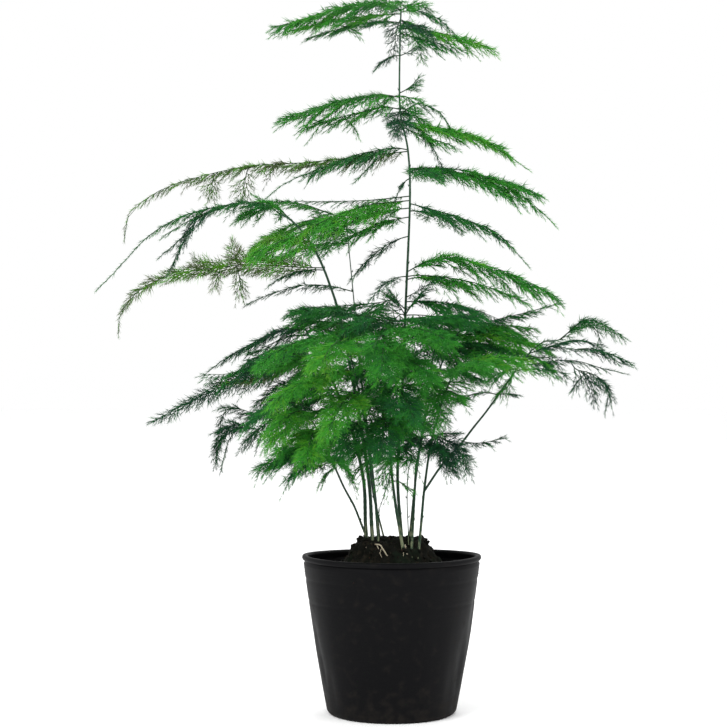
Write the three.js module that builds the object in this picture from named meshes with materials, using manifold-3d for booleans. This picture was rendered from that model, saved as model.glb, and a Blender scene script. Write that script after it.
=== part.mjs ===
// A lace fern (the feathery asparagus, Asparagus setaceus) growing in a soft black nursery pot.
// Millimetres, +Z up. The origin is the centre of the pot's flat base, and the plant faces -Y.
//
// The pot is one moulded skin with a rolled rim and drain holes. The compost fills it and carries the
// raised root ball that the plant was potted on with. Twelve wiry stems stand in plain holes in that
// ball. Each stem and the flat fronds that grew out of it are one body, so each is one mesh.
import * as THREE from "three";
import { mergeVertices } from "three/addons/utils/BufferGeometryUtils.js";
import Module from "manifold-3d";

const wasm = await Module();
wasm.setup();

// Driving dimensions
const RIM_RADIUS = 60;
const POT_HEIGHT = 106;
const BASE_RADIUS = 43;
const POT_WALL = 1;
const POT_FLOOR = 1.4;
const CLEARANCE = 0.3; // between one piece and the next
const STEM_RADIUS = 1.1;
const STEM_TIP_RADIUS = 0.55;
const BLADE_THICKNESS = 0.8;
const NEEDLE_LENGTH = 5.5;

// Pot
const BEAD_RADIUS = 1.9; // the rolled rim
const BEAD_TURNS = [-75, -15, 45, 105, 165]; // degrees round the rim's section, from its outside
const WALL_TOP_RADIUS = 59.7; // of the wall's line, drawn on up to the pot's full height
const BASE_CORNER = 2.5;
const CORNER_CUT = BASE_CORNER * (1 - Math.SQRT1_2); // half way round the base's corner
const WALL_BULGE = 0.85; // of the wall, half way up
const POT_SIDES = 24;
const WALL_LEVELS = [20, 38, 57, 76, 92]; // heights of the wall's rings, up to the bead
const DRAIN_HOLES = 6;
const DRAIN_RADIUS = 4;
const DRAIN_SIDES = 7;
const DRAIN_CIRCLE = 26;
const LOBES = [{ count: 2, size: 0.7, turn: 0.6 }, { count: 5, size: 0.4, turn: 1.1 }];

// Compost
const SOIL_EDGE = WALL_LEVELS.at(-1); // height of the surface at the pot's wall
const BALL_TOP = 116; // height of the root ball's top
// The open surface, from near the pot's wall up the root ball's side and over its top.
const SURFACE = [
  [48, SOIL_EDGE + 2.5],
  [39, SOIL_EDGE + 4.5],
  [31.5, SOIL_EDGE + 8],
  [26.5, SOIL_EDGE + 15.5],
  [20.5, BALL_TOP - 2],
  [12, BALL_TOP],
  [0, BALL_TOP],
];
const CRUMB_PUSH = 0.05; // how far a crumb leans outwards, for its height
const BURIED = BALL_TOP - 24; // height of the stems' feet in the ball
const HOLE_END = BALL_TOP + 8; // clear of the highest crumb
const HOLE_SIDES = 6;
const HOLE_RADIUS = STEM_RADIUS / Math.cos(Math.PI / HOLE_SIDES) + CLEARANCE;
const ROOT_RADIUS = 0.8;

// Fronds
const RIB_SAMPLES = 16;
const RIB_HALF_WIDTH = 0.75;
const RIB_TAPER = 0.4; // share of its width that the rib loses by its tip
const BARE_LENGTH = 9; // of a frond's rib, next to the stem
const LEAFLET_SPACING = 14;
const FEWEST_LEAFLETS = 3;
const FIRST_LEAFLET = 0.6; // length of a frond's first leaflet, as a share of the longest
const LAST_LEAFLET = 0.22;
const LONGEST_AT = 1 / 6; // place of the longest leaflet on the frond
const FOOT_ANGLE = 56; // between a leaflet and the rib, at the frond's foot
const TIP_ANGLE = 30;
const CORE_HALF_WIDTH = 1.5; // of a leaflet, without its needles
const NEEDLE_SPACING = 13;
const MOST_NEEDLE_PAIRS = 2;
const NEEDLE_LAG = 0.45; // from the leaflet's foot to its first needle, in needle spacings
const LEAFLET_POINT = 0.75; // from its last notch to its tip, in needle spacings
const NEEDLE_SPLAY = THREE.MathUtils.degToRad(40);
const ROOF = 0.16; // how a leaflet slopes down from the rib
const SAG = 0.4; // and how it bends down further, at its tip
const STEM_STEP = 32; // length of a stem's straight pieces
const STEM_SIDES = 5;
const BRANCH_RADIUS = 0.8;

const GREEN = { color: 0x2f7a2a, roughness: 0.62, metalness: 0 };
const BLACK = { color: 0x1c1c1e, roughness: 0.45, metalness: 0 };
const BROWN = { color: 0x1d1712, roughness: 0.95, metalness: 0 };
const PALE = { color: 0xb9ad93, roughness: 0.8, metalness: 0 };

const radians = THREE.MathUtils.degToRad;
const UP = new THREE.Vector3(0, 0, 1);

function solidOf(geometry) {
  const bare = geometry.clone().deleteAttribute("normal").deleteAttribute("uv");
  const merged = mergeVertices(bare, 1e-4);
  const mesh = new wasm.Mesh({
    numProp: 3,
    vertProperties: new Float32Array(merged.attributes.position.array),
    triVerts: new Uint32Array(merged.index.array),
  });
  return new wasm.Manifold(mesh);
}

function meshOf(name, solid, finish) {
  const { vertProperties, triVerts } = solid.getMesh();
  const geometry = new THREE.BufferGeometry();
  geometry.setAttribute("position", new THREE.BufferAttribute(vertProperties, 3));
  geometry.setIndex(new THREE.BufferAttribute(triVerts, 1));
  geometry.computeVertexNormals();
  const mesh = new THREE.Mesh(geometry, new THREE.MeshStandardMaterial(finish));
  mesh.name = name;
  return mesh;
}

// The soft wall is a little out of round: more so half way up than at the stiff base and rim.
function outOfRound(angle, z) {
  const slack = Math.sin(Math.PI * THREE.MathUtils.clamp(z / POT_HEIGHT, 0, 1));
  const push = LOBES.map(({ count, size, turn }) => size * Math.sin(count * angle + turn));
  return slack * push.reduce((sum, lobe) => sum + lobe);
}

// A turned solid on the Z axis, pushed out of round as the pot is.
function turned(profile, sides) {
  const points = profile.map(([r, z]) => new THREE.Vector2(r, z));
  const geometry = new THREE.LatheGeometry(points, sides).rotateX(Math.PI / 2);
  const place = geometry.attributes.position;
  for (let i = 0; i < place.count; i++) {
    const x = place.getX(i);
    const y = place.getY(i);
    const r = Math.hypot(x, y);
    if (r < 1) continue;
    const share = Math.min(1, r / BASE_RADIUS);
    const grown = 1 + (share * outOfRound(Math.atan2(y, x), place.getZ(i))) / r;
    place.setXY(i, x * grown, y * grown);
  }
  return geometry;
}

function wallRadius(z) {
  const share = z / POT_HEIGHT;
  const bulge = WALL_BULGE * Math.sin(Math.PI * share);
  return THREE.MathUtils.lerp(BASE_RADIUS, WALL_TOP_RADIUS, share) + bulge;
}

function pot() {
  const outside = [[0, 0], [BASE_RADIUS - BASE_CORNER, 0]];
  outside.push([BASE_RADIUS - CORNER_CUT, CORNER_CUT]);
  for (const z of [BASE_CORNER, ...WALL_LEVELS]) outside.push([wallRadius(z), z]);
  const beadHeight = POT_HEIGHT - BEAD_RADIUS;
  const beadCircle = RIM_RADIUS - BEAD_RADIUS;
  const bead = [];
  for (const turn of BEAD_TURNS) {
    const a = radians(turn);
    bead.push([beadCircle + BEAD_RADIUS * Math.cos(a), beadHeight + BEAD_RADIUS * Math.sin(a)]);
  }
  const inside = [];
  for (const z of [BASE_CORNER, ...WALL_LEVELS]) inside.unshift([wallRadius(z) - POT_WALL, z]);
  inside.push([BASE_RADIUS - BASE_CORNER, POT_FLOOR], [0, POT_FLOOR]);
  let solid = solidOf(turned([...outside, ...bead, ...inside], POT_SIDES));
  for (let i = 0; i < DRAIN_HOLES; i++) {
    const a = (2 * Math.PI * (i + 0.5)) / DRAIN_HOLES;
    const hole = new THREE.CylinderGeometry(DRAIN_RADIUS, DRAIN_RADIUS, 4 * POT_FLOOR, DRAIN_SIDES);
    hole.rotateX(Math.PI / 2);
    hole.translate(DRAIN_CIRCLE * Math.cos(a), DRAIN_CIRCLE * Math.sin(a), 0);
    solid = solid.subtract(solidOf(hole));
  }
  return meshOf("pot", solid, BLACK);
}

// Crumbs of compost: a low, uneven surface that repeats nowhere on the pot's width.
function crumb(x, y) {
  return 0.9 * Math.sin(0.61 * x + 1.3) * Math.cos(0.53 * y) + 0.6 * Math.sin(0.9 * y - 0.37 * x);
}

function soil(stems, roots) {
  const gap = POT_WALL + CLEARANCE;
  const floor = POT_FLOOR + CLEARANCE;
  const profile = [[0, floor], [BASE_RADIUS - BASE_CORNER - CLEARANCE, floor]];
  for (const z of [BASE_CORNER, WALL_LEVELS[2], SOIL_EDGE]) profile.push([wallRadius(z) - gap, z]);
  const geometry = turned([...profile, ...SURFACE], POT_SIDES);
  const place = geometry.attributes.position;
  for (let i = 0; i < place.count; i++) {
    const [x, y, z] = [place.getX(i), place.getY(i), place.getZ(i)];
    if (z <= SOIL_EDGE) continue;
    const height = crumb(x, y);
    place.setXYZ(i, x * (1 + CRUMB_PUSH * height), y * (1 + CRUMB_PUSH * height), z + height);
  }
  let solid = solidOf(geometry);
  for (const stem of stems) {
    const line = new THREE.LineCurve3(footLine(stem, BURIED - CLEARANCE), footLine(stem, HOLE_END));
    solid = solid.subtract(taperedBar(line, 1, HOLE_SIDES, () => HOLE_RADIUS));
  }
  for (const root of roots) solid = solid.subtract(rootTube(root, CLEARANCE));
  return meshOf("soil", solid, BROWN);
}

// A round bar that follows a curve and thins towards its end, closed at both ends.
function taperedBar(curve, steps, sides, radiusAt) {
  const places = [];
  const faces = [];
  const frames = curve.computeFrenetFrames(steps, false);
  for (let i = 0; i <= steps; i++) {
    const centre = curve.getPointAt(i / steps);
    for (let k = 0; k < sides; k++) {
      const a = (2 * Math.PI * k) / sides;
      const out = frames.normals[i].clone().multiplyScalar(Math.cos(a));
      out.addScaledVector(frames.binormals[i], Math.sin(a));
      places.push(...centre.clone().addScaledVector(out, radiusAt(i / steps)).toArray());
    }
  }
  const ring = (i, k) => i * sides + (k % sides);
  for (let i = 0; i < steps; i++) {
    for (let k = 0; k < sides; k++) {
      faces.push(ring(i, k), ring(i, k + 1), ring(i + 1, k + 1));
      faces.push(ring(i, k), ring(i + 1, k + 1), ring(i + 1, k));
    }
  }
  for (let k = 1; k < sides - 1; k++) {
    faces.push(ring(0, 0), ring(0, k + 1), ring(0, k));
    faces.push(ring(steps, 0), ring(steps, k), ring(steps, k + 1));
  }
  const geometry = new THREE.BufferGeometry();
  geometry.setAttribute("position", new THREE.Float32BufferAttribute(places, 3));
  geometry.setIndex(faces);
  return solidOf(geometry);
}

// A thin sheet of even thickness, drawn as outline points that each carry the sheet's normal there.
// Its two sides are split into the same triangles, so they never cross.
class Blade {
  places = [];
  faces = [];

  point(place, normal) {
    for (const side of [0.5, -0.5]) {
      const lifted = place.clone().addScaledVector(normal, side * BLADE_THICKNESS);
      this.places.push(...lifted.toArray());
    }
    return this.places.length / 6 - 1;
  }

  // A triangle of both sides, given anticlockwise as seen from above.
  face(a, b, c) {
    this.faces.push(2 * a, 2 * b, 2 * c, 2 * a + 1, 2 * c + 1, 2 * b + 1);
  }

  // The narrow wall along the outline from a to b, with the sheet on its left.
  wall(a, b) {
    this.faces.push(2 * a, 2 * a + 1, 2 * b + 1, 2 * a, 2 * b + 1, 2 * b);
  }

  solid() {
    const geometry = new THREE.BufferGeometry();
    geometry.setAttribute("position", new THREE.Float32BufferAttribute(this.places, 3));
    geometry.setIndex(this.faces);
    return solidOf(geometry);
  }
}

// The rib of a frond goes through the places in via. Where there are none it runs straight away from the
// stem as seen from above: it would climb by rise, but bends down to its tip, evenly where bend is 2 and
// only near the tip where bend is high.
function ribOf(root, { tip, rise, bend, via }) {
  const flat = new THREE.Vector3(tip[0] - root.x, tip[1] - root.y, 0);
  const drop = root.z + rise - tip[2];
  const samples = [];
  for (let i = 0; i <= RIB_SAMPLES; i++) {
    const t = i / RIB_SAMPLES;
    const height = rise * t - drop * Math.pow(t, bend);
    samples.push(root.clone().addScaledVector(flat, t).addScaledVector(UP, height));
  }
  const places = [...via, tip].map((place) => new THREE.Vector3(...place));
  const curve = new THREE.CatmullRomCurve3(via.length > 0 ? [root, ...places] : samples);
  const across = UP.clone().cross(flat).normalize();
  return {
    length: curve.getLength(),
    frame: (share) => {
      const s = Math.min(share, 1);
      const along = curve.getTangentAt(s);
      const normal = along.clone().cross(across);
      return { place: curve.getPointAt(s), along, across, normal };
    },
  };
}

// How long the leaflets are along a frond: longest near its foot, and short at its tip.
function leafletShare(s) {
  const opening = THREE.MathUtils.lerp(FIRST_LEAFLET, 1, Math.min(1, s / LONGEST_AT));
  return opening * THREE.MathUtils.lerp(1, LAST_LEAFLET, Math.pow(s, 1.4));
}

// The outline of one leaflet, from the rib's edge at first, round its tip, and back to the rib at last.
// It is a slim core with needles that lean forward from both edges.
function leaflet(blade, frame, first, last, side, length, angle) {
  const { along, across, normal, place } = frame;
  const outward = across.clone().multiplyScalar(side);
  const heading = (turn) =>
    along.clone().multiplyScalar(Math.cos(turn)).addScaledVector(outward, Math.sin(turn));
  const axis = heading(angle);
  const backward = heading(angle + Math.PI / 2);
  const foot = place.clone().addScaledVector(outward, RIB_HALF_WIDTH);
  const spot = (reach, offset) => {
    const sag = ROOF * reach + (SAG * reach * reach) / Math.max(length, NEEDLE_LENGTH);
    const at = foot.clone().addScaledVector(axis, reach).addScaledVector(backward, offset);
    return blade.point(at.addScaledVector(UP, -sag), normal);
  };
  const pairs = Math.min(MOST_NEEDLE_PAIRS, Math.floor(length / NEEDLE_SPACING));
  const near = [];
  const far = [];
  for (let i = 0; i < pairs; i++) {
    const root = (length * (i + NEEDLE_LAG)) / (pairs + LEAFLET_POINT);
    const notch = (length * (i + 1)) / (pairs + LEAFLET_POINT);
    const forward = NEEDLE_LENGTH * Math.cos(NEEDLE_SPLAY);
    const out = CORE_HALF_WIDTH + NEEDLE_LENGTH * Math.sin(NEEDLE_SPLAY);
    near.push(spot(root + forward, out), spot(notch, CORE_HALF_WIDTH));
    far.unshift(spot(notch, -CORE_HALF_WIDTH), spot(root + forward, -out));
  }
  const tip = spot(length, 0);
  const outline = [first, ...near, tip, ...far, last];
  const count = outline.length;
  const face = (a, b, c) => {
    if (side < 0) blade.face(outline[a], outline[b], outline[c]);
    else blade.face(outline[a], outline[c], outline[b]);
  };
  // The core is a ladder of notches, and each needle is a tooth on its edge.
  for (let i = 0; i < pairs; i++) {
    const [inner, outer] = [2 * i, count - 1 - 2 * i];
    face(inner, inner + 1, inner + 2);
    face(outer, outer - 2, outer - 1);
    face(inner, inner + 2, outer - 2);
    face(inner, outer - 2, outer);
  }
  const top = 2 * pairs;
  face(top, top + 1, top + 2);
  for (let i = 0; i < count - 1; i++) {
    if (side < 0) blade.wall(outline[i], outline[i + 1]);
    else blade.wall(outline[i + 1], outline[i]);
  }
}

// One flat, arching frond, with needle-edged leaflets cut to its rib, left and right by turns.
function frond(root, { width, whip, ...arch }) {
  const blade = new Blade();
  const rib = ribOf(root, arch);
  const bare = BARE_LENGTH / rib.length;
  const leafy = 1 - bare - whip;
  const count = Math.max(FEWEST_LEAFLETS, Math.round((rib.length * leafy) / LEAFLET_SPACING));
  const stops = [0];
  for (let i = 0; i <= count; i++) stops.push(bare + (leafy * i) / count);
  if (whip > 0) stops.push(1 - whip / 2);
  const edges = stops.map((s) => {
    const { place, across, normal } = rib.frame(s);
    const half = RIB_HALF_WIDTH * (1 - RIB_TAPER * s);
    return [-half, half].map((w) => blade.point(place.clone().addScaledVector(across, w), normal));
  });
  blade.wall(edges[0][1], edges[0][0]);
  for (let i = 0; i < stops.length - 1; i++) {
    const [rightA, leftA] = edges[i];
    const [rightB, leftB] = edges[i + 1];
    blade.face(rightA, rightB, leftB);
    blade.face(rightA, leftB, leftA);
    const leafed = i > 0 && i <= count;
    const onLeft = i % 2 === 0;
    if (leafed) {
      const middle = (stops[i] + stops[i + 1]) / 2;
      const s = (i - 0.5) / count;
      const length = width * leafletShare(s);
      const angle = radians(THREE.MathUtils.lerp(FOOT_ANGLE, TIP_ANGLE, s));
      if (onLeft) leaflet(blade, rib.frame(middle), leftA, leftB, 1, length, angle);
      else leaflet(blade, rib.frame(middle), rightA, rightB, -1, length, angle);
    }
    if (!leafed || onLeft) blade.wall(rightA, rightB);
    if (!leafed || !onLeft) blade.wall(leftB, leftA);
  }
  const end = rib.frame(1);
  const point = blade.point(end.place, end.normal);
  const [right, left] = edges.at(-1);
  blade.face(right, point, left);
  blade.wall(right, point);
  blade.wall(point, left);
  return blade.solid();
}

function curveThrough(points) {
  const knots = points.map(([x, y, z]) => new THREE.Vector3(x, y, z));
  return new THREE.CatmullRomCurve3(knots, false, "catmullrom", 0.5);
}

// The point at a height on the straight pieces that a rising stem is made of.
function pointAtHeight(spine, height) {
  const above = spine.findIndex((point) => point.z > height);
  if (above < 1) return spine.at(-1).clone();
  const [low, high] = [spine[above - 1], spine[above]];
  return low.clone().lerp(high, (height - low.z) / (high.z - low.z));
}

function bough(points, fronds, thick, thin) {
  const curve = curveThrough(points);
  const steps = Math.max(6, Math.round(curve.getLength() / STEM_STEP));
  const spine = curve.getSpacedPoints(steps);
  const radiusAt = (s) => THREE.MathUtils.lerp(thick, thin, s);
  let solid = taperedBar(curve, steps, STEM_SIDES, radiusAt);
  for (const [height, x, y, z, rise, width, bend = 2, whip = 0, via = []] of fronds) {
    const root = pointAtHeight(spine, height);
    solid = solid.add(frond(root, { tip: [x, y, z], rise, bend, width, whip, via }));
  }
  return solid;
}

// Each stem: its foot at the root ball's top, the way that it climbs, and its fronds. A frond is its height
// on the stem, the place x, y, z of its tip, its rise, the length of its longest leaflets, its bend,
// the share of the rib that is a bare whip at the tip, and the places that its rib goes through.
const STEMS = [
  {
    name: "tall",
    foot: [7, 3],
    way: [[4.5, 3, 146], [4.4, 4, 169], [7.7, 4, 222], [9.7, 4, 276], [12.4, 3, 343], [11, 2, 377],
      [5.7, 1, 404], [5.7, 1, 450], [6.4, 0, 471]],
    fronds: [
      [470, -74, -12, 456, 0, 30, 2, 0, [[-4, -5, 473], [-31, -10, 470], [-58, -12, 460.5]]],
      [469, 42, -4, 455, 22, 12],
      [459, 66, -8, 445, 6, 26],
      [464, 2, 46, 456, 8, 16],
      [466, 24, 44, 452, 8, 16],
      [458, 25, -36, 446, 8, 16],
      [440, -10, -10, 432, 0, 9],
      [412, -71, -13, 396, 0, 30, 2, 0, [[-4.5, -4, 413], [-34, -9, 408.5], [-60, -12, 400]]],
      [407, 40, -6, 389, 16, 12],
      [397, 90, -8, 364, 0, 26, 1.85, 0.15],
      [414, 20, 0, 424, 6, 8],
      [403, 4, 46, 393, 6, 16],
      [405, 28, 46, 388, 6, 16],
      [395, 4, -44, 381, 4, 16],
      [393, 33, -14, 364, 6, 8],
      [377, -84, -10, 343, 0, 22, 2, 0.33, [[2, -1, 378], [-26.5, -5, 372], [-53, -7, 361.5]]],
      [376, -184, 34, 318, 0, 15, 2, 0.2,
        [[-55, 10, 369], [-89, 18, 367], [-120, 24, 359], [-148, 28, 351], [-169, 31, 338]]],
      [364.5, 109, -8, 325, 4, 25, 2.6, 0.17],
      [364, 80, 40, 354, 6, 18],
      [362, 34, 52, 361, 6, 16],
      [362, 32, -42, 352, 6, 14],
      [343, -89, -50, 305, 0, 34, 2, 0, [[-14, -12, 339], [-34, -22, 332], [-71, -43, 313]]],
      [341, 90, -10, 299, 0, 22, 2, 0.2, [[36, -3, 334], [56, -6, 327]]],
      [336, 50, 54, 326, 6, 18],
      [319, -26, -14, 291, -8, 9],
      [292, -14, -20, 276, 0, 10],
      [295, 110, -12, 277.5, 0, 30, 2, 0, [[24, -2, 302], [39, -4, 304], [82, -10, 292]]],
      [278, 28, -14, 289, 8, 9],
      [275, 73, 6, 263, 6, 8],
      [266, 47, -8, 272, 0, 16, 2, 0, [[16, 0, 275.5]]],
    ],
  },
  {
    name: "left_arching",
    foot: [-13.7, -6],
    way: [[-16, -6, 155], [-22, -5, 200], [-33.8, -3, 261], [-42, -2, 288], [-50, -1, 307], [-57.5, 0, 319],
      [-64, 0, 326.5], [-75.5, 0, 333.5]],
    fronds: [
      [333, -194, -12, 282.5, 0, 14, 2, 0.36,
        [[-84, -2, 340], [-98, -4, 343], [-121, -6, 336.5], [-148, -8, 325], [-174, -10, 305]]],
      [331, -147, -22, 293, 0, 10, 2, 0.2, [[-90, -4, 338], [-113, -7, 338.5], [-136, -14, 318.5]]],
      [330, -106, 14, 333, 0, 22, 2, 0, [[-80, 8, 340]]],
      [297.5, -180, -22, 253, 0, 18, 2, 0.12,
        [[-68, -5, 297], [-111, -11, 296], [-152, -17, 286], [-166, -19, 277], [-175, -21, 265]]],
      [308, -92, -36, 303, 0, 26, 2, 0, [[-62, -18, 315], [-77, -28, 316]]],
      [296, -80, -14, 286, 2, 8],
    ],
  },
  {
    name: "back_arching",
    foot: [-5, 8],
    way: [[-12, 14, 155], [-19, 24, 209], [-26, 32, 283], [-31, 32, 334]],
    fronds: [
      [333, -101, 26, 341, 0, 18, 2, 0, [[-43, 32, 337], [-69, 31, 344.5], [-83, 28, 345]]],
      [333, -96, 44, 314, 16, 28],
      [326, -46, 92, 318, 8, 24],
      [316, -86, 70, 306, 8, 22],
      [283, -97, 28, 275, 0, 10, 2, 0, [[-43, 31, 287], [-63, 31, 287]]],
      [268, -66, 14, 270, 0, 24, 2, 0, [[-38, 26, 272], [-52, 20, 272]]],
      [258, -70, 2, 259, 0, 24, 2, 0, [[-36, 14, 261]]],
    ],
  },
  {
    name: "low_left",
    foot: [-17, -4],
    way: [[-24, -7, 134.5], [-30, -12, 147.5], [-34, -16, 155], [-40, -22, 165.5], [-50, -30, 190],
      [-60, -36, 208]],
    fronds: [
      [207, -96, -46, 192, 12, 20],
      [202, -82, -84, 182, 10, 26],
      [190, -56, -94, 172, 8, 26],
      [180, -82, -34, 166, 4, 20],
      [172, -34, -76, 167, 4, 20],
    ],
  },
  {
    name: "left",
    foot: [-17.8, 3],
    way: [[-20.4, 4, 159], [-31, 4, 202], [-49, 3, 239], [-58, 2, 257]],
    fronds: [
      [256, -127, -5, 224, 0, 12, 2, 0, [[-73, 0, 257.5], [-98, -3, 245]]],
      [246, -126, -14, 226, 0, 16, 2, 0, [[-62, -2, 247], [-85, -9, 238]]],
      [240, -160, -14, 193, -10, 20, 1.5],
      [218, -118, 26, 163, 0, 16, 2, 0,
        [[-55, 6, 216], [-88, 12, 210], [-109, 19, 207], [-117, 22, 197], [-120, 24, 181]]],
      [246, -102, 52, 232, 8, 28],
      [216, -96, 36, 196, 2, 24],
      [204, -84, 8, 180, 0, 22],
    ],
  },
  {
    name: "front_left",
    foot: [-9.7, -13],
    way: [[-13, -20, 155], [-18, -30, 195], [-25, -38, 229], [-31, -43, 252]],
    fronds: [
      [251, -84, -70, 236, 12, 28],
      [247, -44, -106, 234, 10, 30],
      [238, -86, -34, 230, 8, 26],
      [228, -78, -96, 208, 6, 30],
      [214, -40, -102, 192, 6, 28],
    ],
  },
  {
    name: "middle",
    foot: [5, -21],
    way: [[3, -19, 138], [0, -18, 159], [-1, -18, 176], [-2, -20, 222], [-4, -23, 262]],
    fronds: [
      [261, -66, -36, 268, 18, 28],
      [260, 58, -30, 264, 14, 26],
      [256, 34, -82, 248, 8, 30],
      [248, -8, -100, 228, 6, 30],
      [238, 24, -86, 224, 6, 28],
      [218, 12, -98, 200, 4, 26],
      [198, -8, -80, 178, 2, 22],
    ],
  },
  {
    name: "right",
    foot: [14, -18],
    way: [[16.4, -6, 149], [17.8, -2, 169], [25.8, 4, 209], [38, 8, 243], [49, 12, 259]],
    fronds: [
      [258, 112, 14, 274, 0, 16, 2, 0, [[68, 11, 262.5]]],
      [252, 106, 4, 243, 10, 24],
      [247, 98, 26, 238, 6, 24],
      [238, 84, -10, 230, 6, 18],
      [228, 62, 38, 222, 6, 20],
      [255, 80, 42, 258, 8, 22],
    ],
  },
  {
    name: "front_right",
    foot: [18.5, -18],
    way: [[22, -12, 152], [26, -19, 182], [33, -29, 209], [42, -37, 234]],
    fronds: [
      [233, 84, -60, 236, 14, 26],
      [228, 56, -94, 232, 10, 26],
      [215, 44, -58, 217, 6, 18],
      [184, 52, -52, 168, 0, 18, 2, 0, [[33, -28, 183]]],
    ],
    branch: {
      way: [[21.6, -12.7, 148], [33, -14, 167], [46, -17, 182], [71, -20, 210], [93, -16, 241]],
      fronds: [
        [240, 156, -13, 249, 0, 12, 2, 0, [[112, -8, 250.5], [125, -10, 262], [145, -12, 257]]],
        [239, 155, -34, 233, 0, 10, 2, 0.25, [[110, -18, 245], [131, -26, 242]]],
        [232, 152, -20, 227, 0, 10, 2, 0.25, [[111, -14, 230], [138, -18, 228]]],
        [228, 142, -20, 204, 0, 16, 2, 0, [[108, -14, 229], [131, -16, 227], [144, -19, 215]]],
        [182, 76, -24, 184, -6, 6],
        [211, 80, -24, 212, 2, 6],
      ],
    },
  },
  {
    name: "low_right",
    foot: [11, -16],
    way: [[10, -19, 145], [11, -25, 165], [16, -31, 182]],
    fronds: [
      [181, 44, -52, 168, 6, 18],
      [172, -6, -62, 168, 4, 20],
      [164, -30, -52, 162, 4, 18],
    ],
  },
  {
    name: "back_left",
    foot: [-8, 15],
    way: [[-12, 24, 155], [-18, 34, 205], [-23, 42, 245], [-26, 46, 268]],
    fronds: [
      [267, -68, 72, 263, 10, 26],
      [264, -6, 70, 272, 12, 24],
      [262, -30, 112, 250, 10, 28],
      [252, -82, 106, 230, 8, 28],
      [246, 16, 98, 240, 6, 28],
      [228, -84, 78, 206, 4, 26],
    ],
  },
  {
    name: "back_right",
    foot: [10, 14],
    way: [[13, 24, 155], [22, 34, 202], [30, 42, 240], [36, 46, 262]],
    fronds: [
      [261, 96, 84, 252, 12, 26],
      [260, 60, 42, 270, 14, 24],
      [256, 50, 114, 246, 10, 28],
      [246, 94, 62, 238, 6, 22],
      [244, 84, 98, 234, 6, 24],
      [230, 26, 100, 208, 4, 26],
    ],
  },
];

// A stem stands straight in its hole, on the line from its foot to the first point of its way.
function footLine({ foot, way }, height) {
  const [x, y, z] = way[0];
  const share = (height - BALL_TOP) / (z - BALL_TOP);
  const at = new THREE.Vector3(...foot, BALL_TOP);
  return at.lerp(new THREE.Vector3(x, y, z), share);
}

function leafyStem(stem) {
  const heights = [BURIED, THREE.MathUtils.lerp(BURIED, HOLE_END, 0.5), HOLE_END];
  const straight = heights.map((height) => footLine(stem, height).toArray());
  const { name, way, fronds, branch } = stem;
  let solid = bough([...straight, ...way], fronds, STEM_RADIUS, STEM_TIP_RADIUS);
  if (branch) solid = solid.add(bough(branch.way, branch.fronds, BRANCH_RADIUS, STEM_TIP_RADIUS));
  return meshOf("leafy_stem_" + name, solid, GREEN);
}

// Pale roots that show on the front of the root ball, half sunk in it.
const ROOTS = [
  {
    name: "left",
    points: [[-17, -16, 111.5], [-12.5, -17.4, 113.8], [-8, -20.2, 114], [-6, -23, 111.5],
      [-3, -26.8, 107.5]],
  },
  { name: "right", points: [[8.5, -19.5, 114], [9, -22.4, 111], [10, -24.8, 108]] },
];

function rootTube({ points }, grown) {
  return taperedBar(curveThrough(points), 6, 5, () => ROOT_RADIUS + grown);
}

const plant = new THREE.Group();
plant.add(pot());
plant.add(soil(STEMS, ROOTS));
for (const root of ROOTS) plant.add(meshOf("surface_root_" + root.name, rootTube(root, 0), PALE));
for (const stem of STEMS) plant.add(leafyStem(stem));

export default plant;
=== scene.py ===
"""A lace fern (the feathery asparagus) in its soft black nursery pot. Blender 4.5, metres, +Z up.

The plant faces -Y and stands at the origin. Its stems and fronds are set out in millimetres, as the
plant was measured, and MM turns them into metres when a mesh is made.
"""

import math
from collections import namedtuple

import bpy
import numpy as np
from mathutils import Matrix, Vector, noise


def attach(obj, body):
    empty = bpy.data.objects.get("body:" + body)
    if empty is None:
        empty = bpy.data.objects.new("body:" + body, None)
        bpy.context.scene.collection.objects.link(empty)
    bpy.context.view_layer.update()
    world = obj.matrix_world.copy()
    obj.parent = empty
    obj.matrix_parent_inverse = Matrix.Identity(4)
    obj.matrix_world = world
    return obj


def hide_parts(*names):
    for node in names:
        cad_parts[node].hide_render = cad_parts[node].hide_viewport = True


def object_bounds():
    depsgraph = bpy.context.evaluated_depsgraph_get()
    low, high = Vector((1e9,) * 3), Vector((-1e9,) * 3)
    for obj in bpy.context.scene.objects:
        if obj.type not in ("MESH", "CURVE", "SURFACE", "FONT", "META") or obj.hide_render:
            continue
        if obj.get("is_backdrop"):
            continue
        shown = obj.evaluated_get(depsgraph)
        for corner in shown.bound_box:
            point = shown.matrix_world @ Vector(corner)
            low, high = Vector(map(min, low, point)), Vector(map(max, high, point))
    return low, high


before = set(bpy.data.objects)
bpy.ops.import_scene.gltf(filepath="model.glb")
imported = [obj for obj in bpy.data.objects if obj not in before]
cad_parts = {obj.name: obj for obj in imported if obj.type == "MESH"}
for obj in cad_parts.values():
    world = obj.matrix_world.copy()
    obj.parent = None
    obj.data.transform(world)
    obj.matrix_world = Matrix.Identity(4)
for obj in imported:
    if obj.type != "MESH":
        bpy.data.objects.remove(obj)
cad_low, cad_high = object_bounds()
bpy.ops.object.select_all(action="DESELECT")

# The view
# A long lens, level with the middle of the plant and a little to the left of it, with a pale floor and
# the soft light of a white studio tent.
FRAME_PIXELS = 727
FOCAL_PIXELS = 1790
SENSOR = 36
EYE = (-0.0188, -1.2, 0.2335)
FLOOR_RADIUS = 8
WHITE = (1, 1, 1, 1)
LAMPS_AIM = (0, 0, 0.22)
# The place, size and power of each soft lamp.
LAMPS = [
    ((-1.1, -1.3, 1.5), 1.0, 26),
    ((1.4, -0.9, 0.9), 1.2, 9),
    ((0.3, 1.2, 1.6), 1.0, 12),
]

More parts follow.
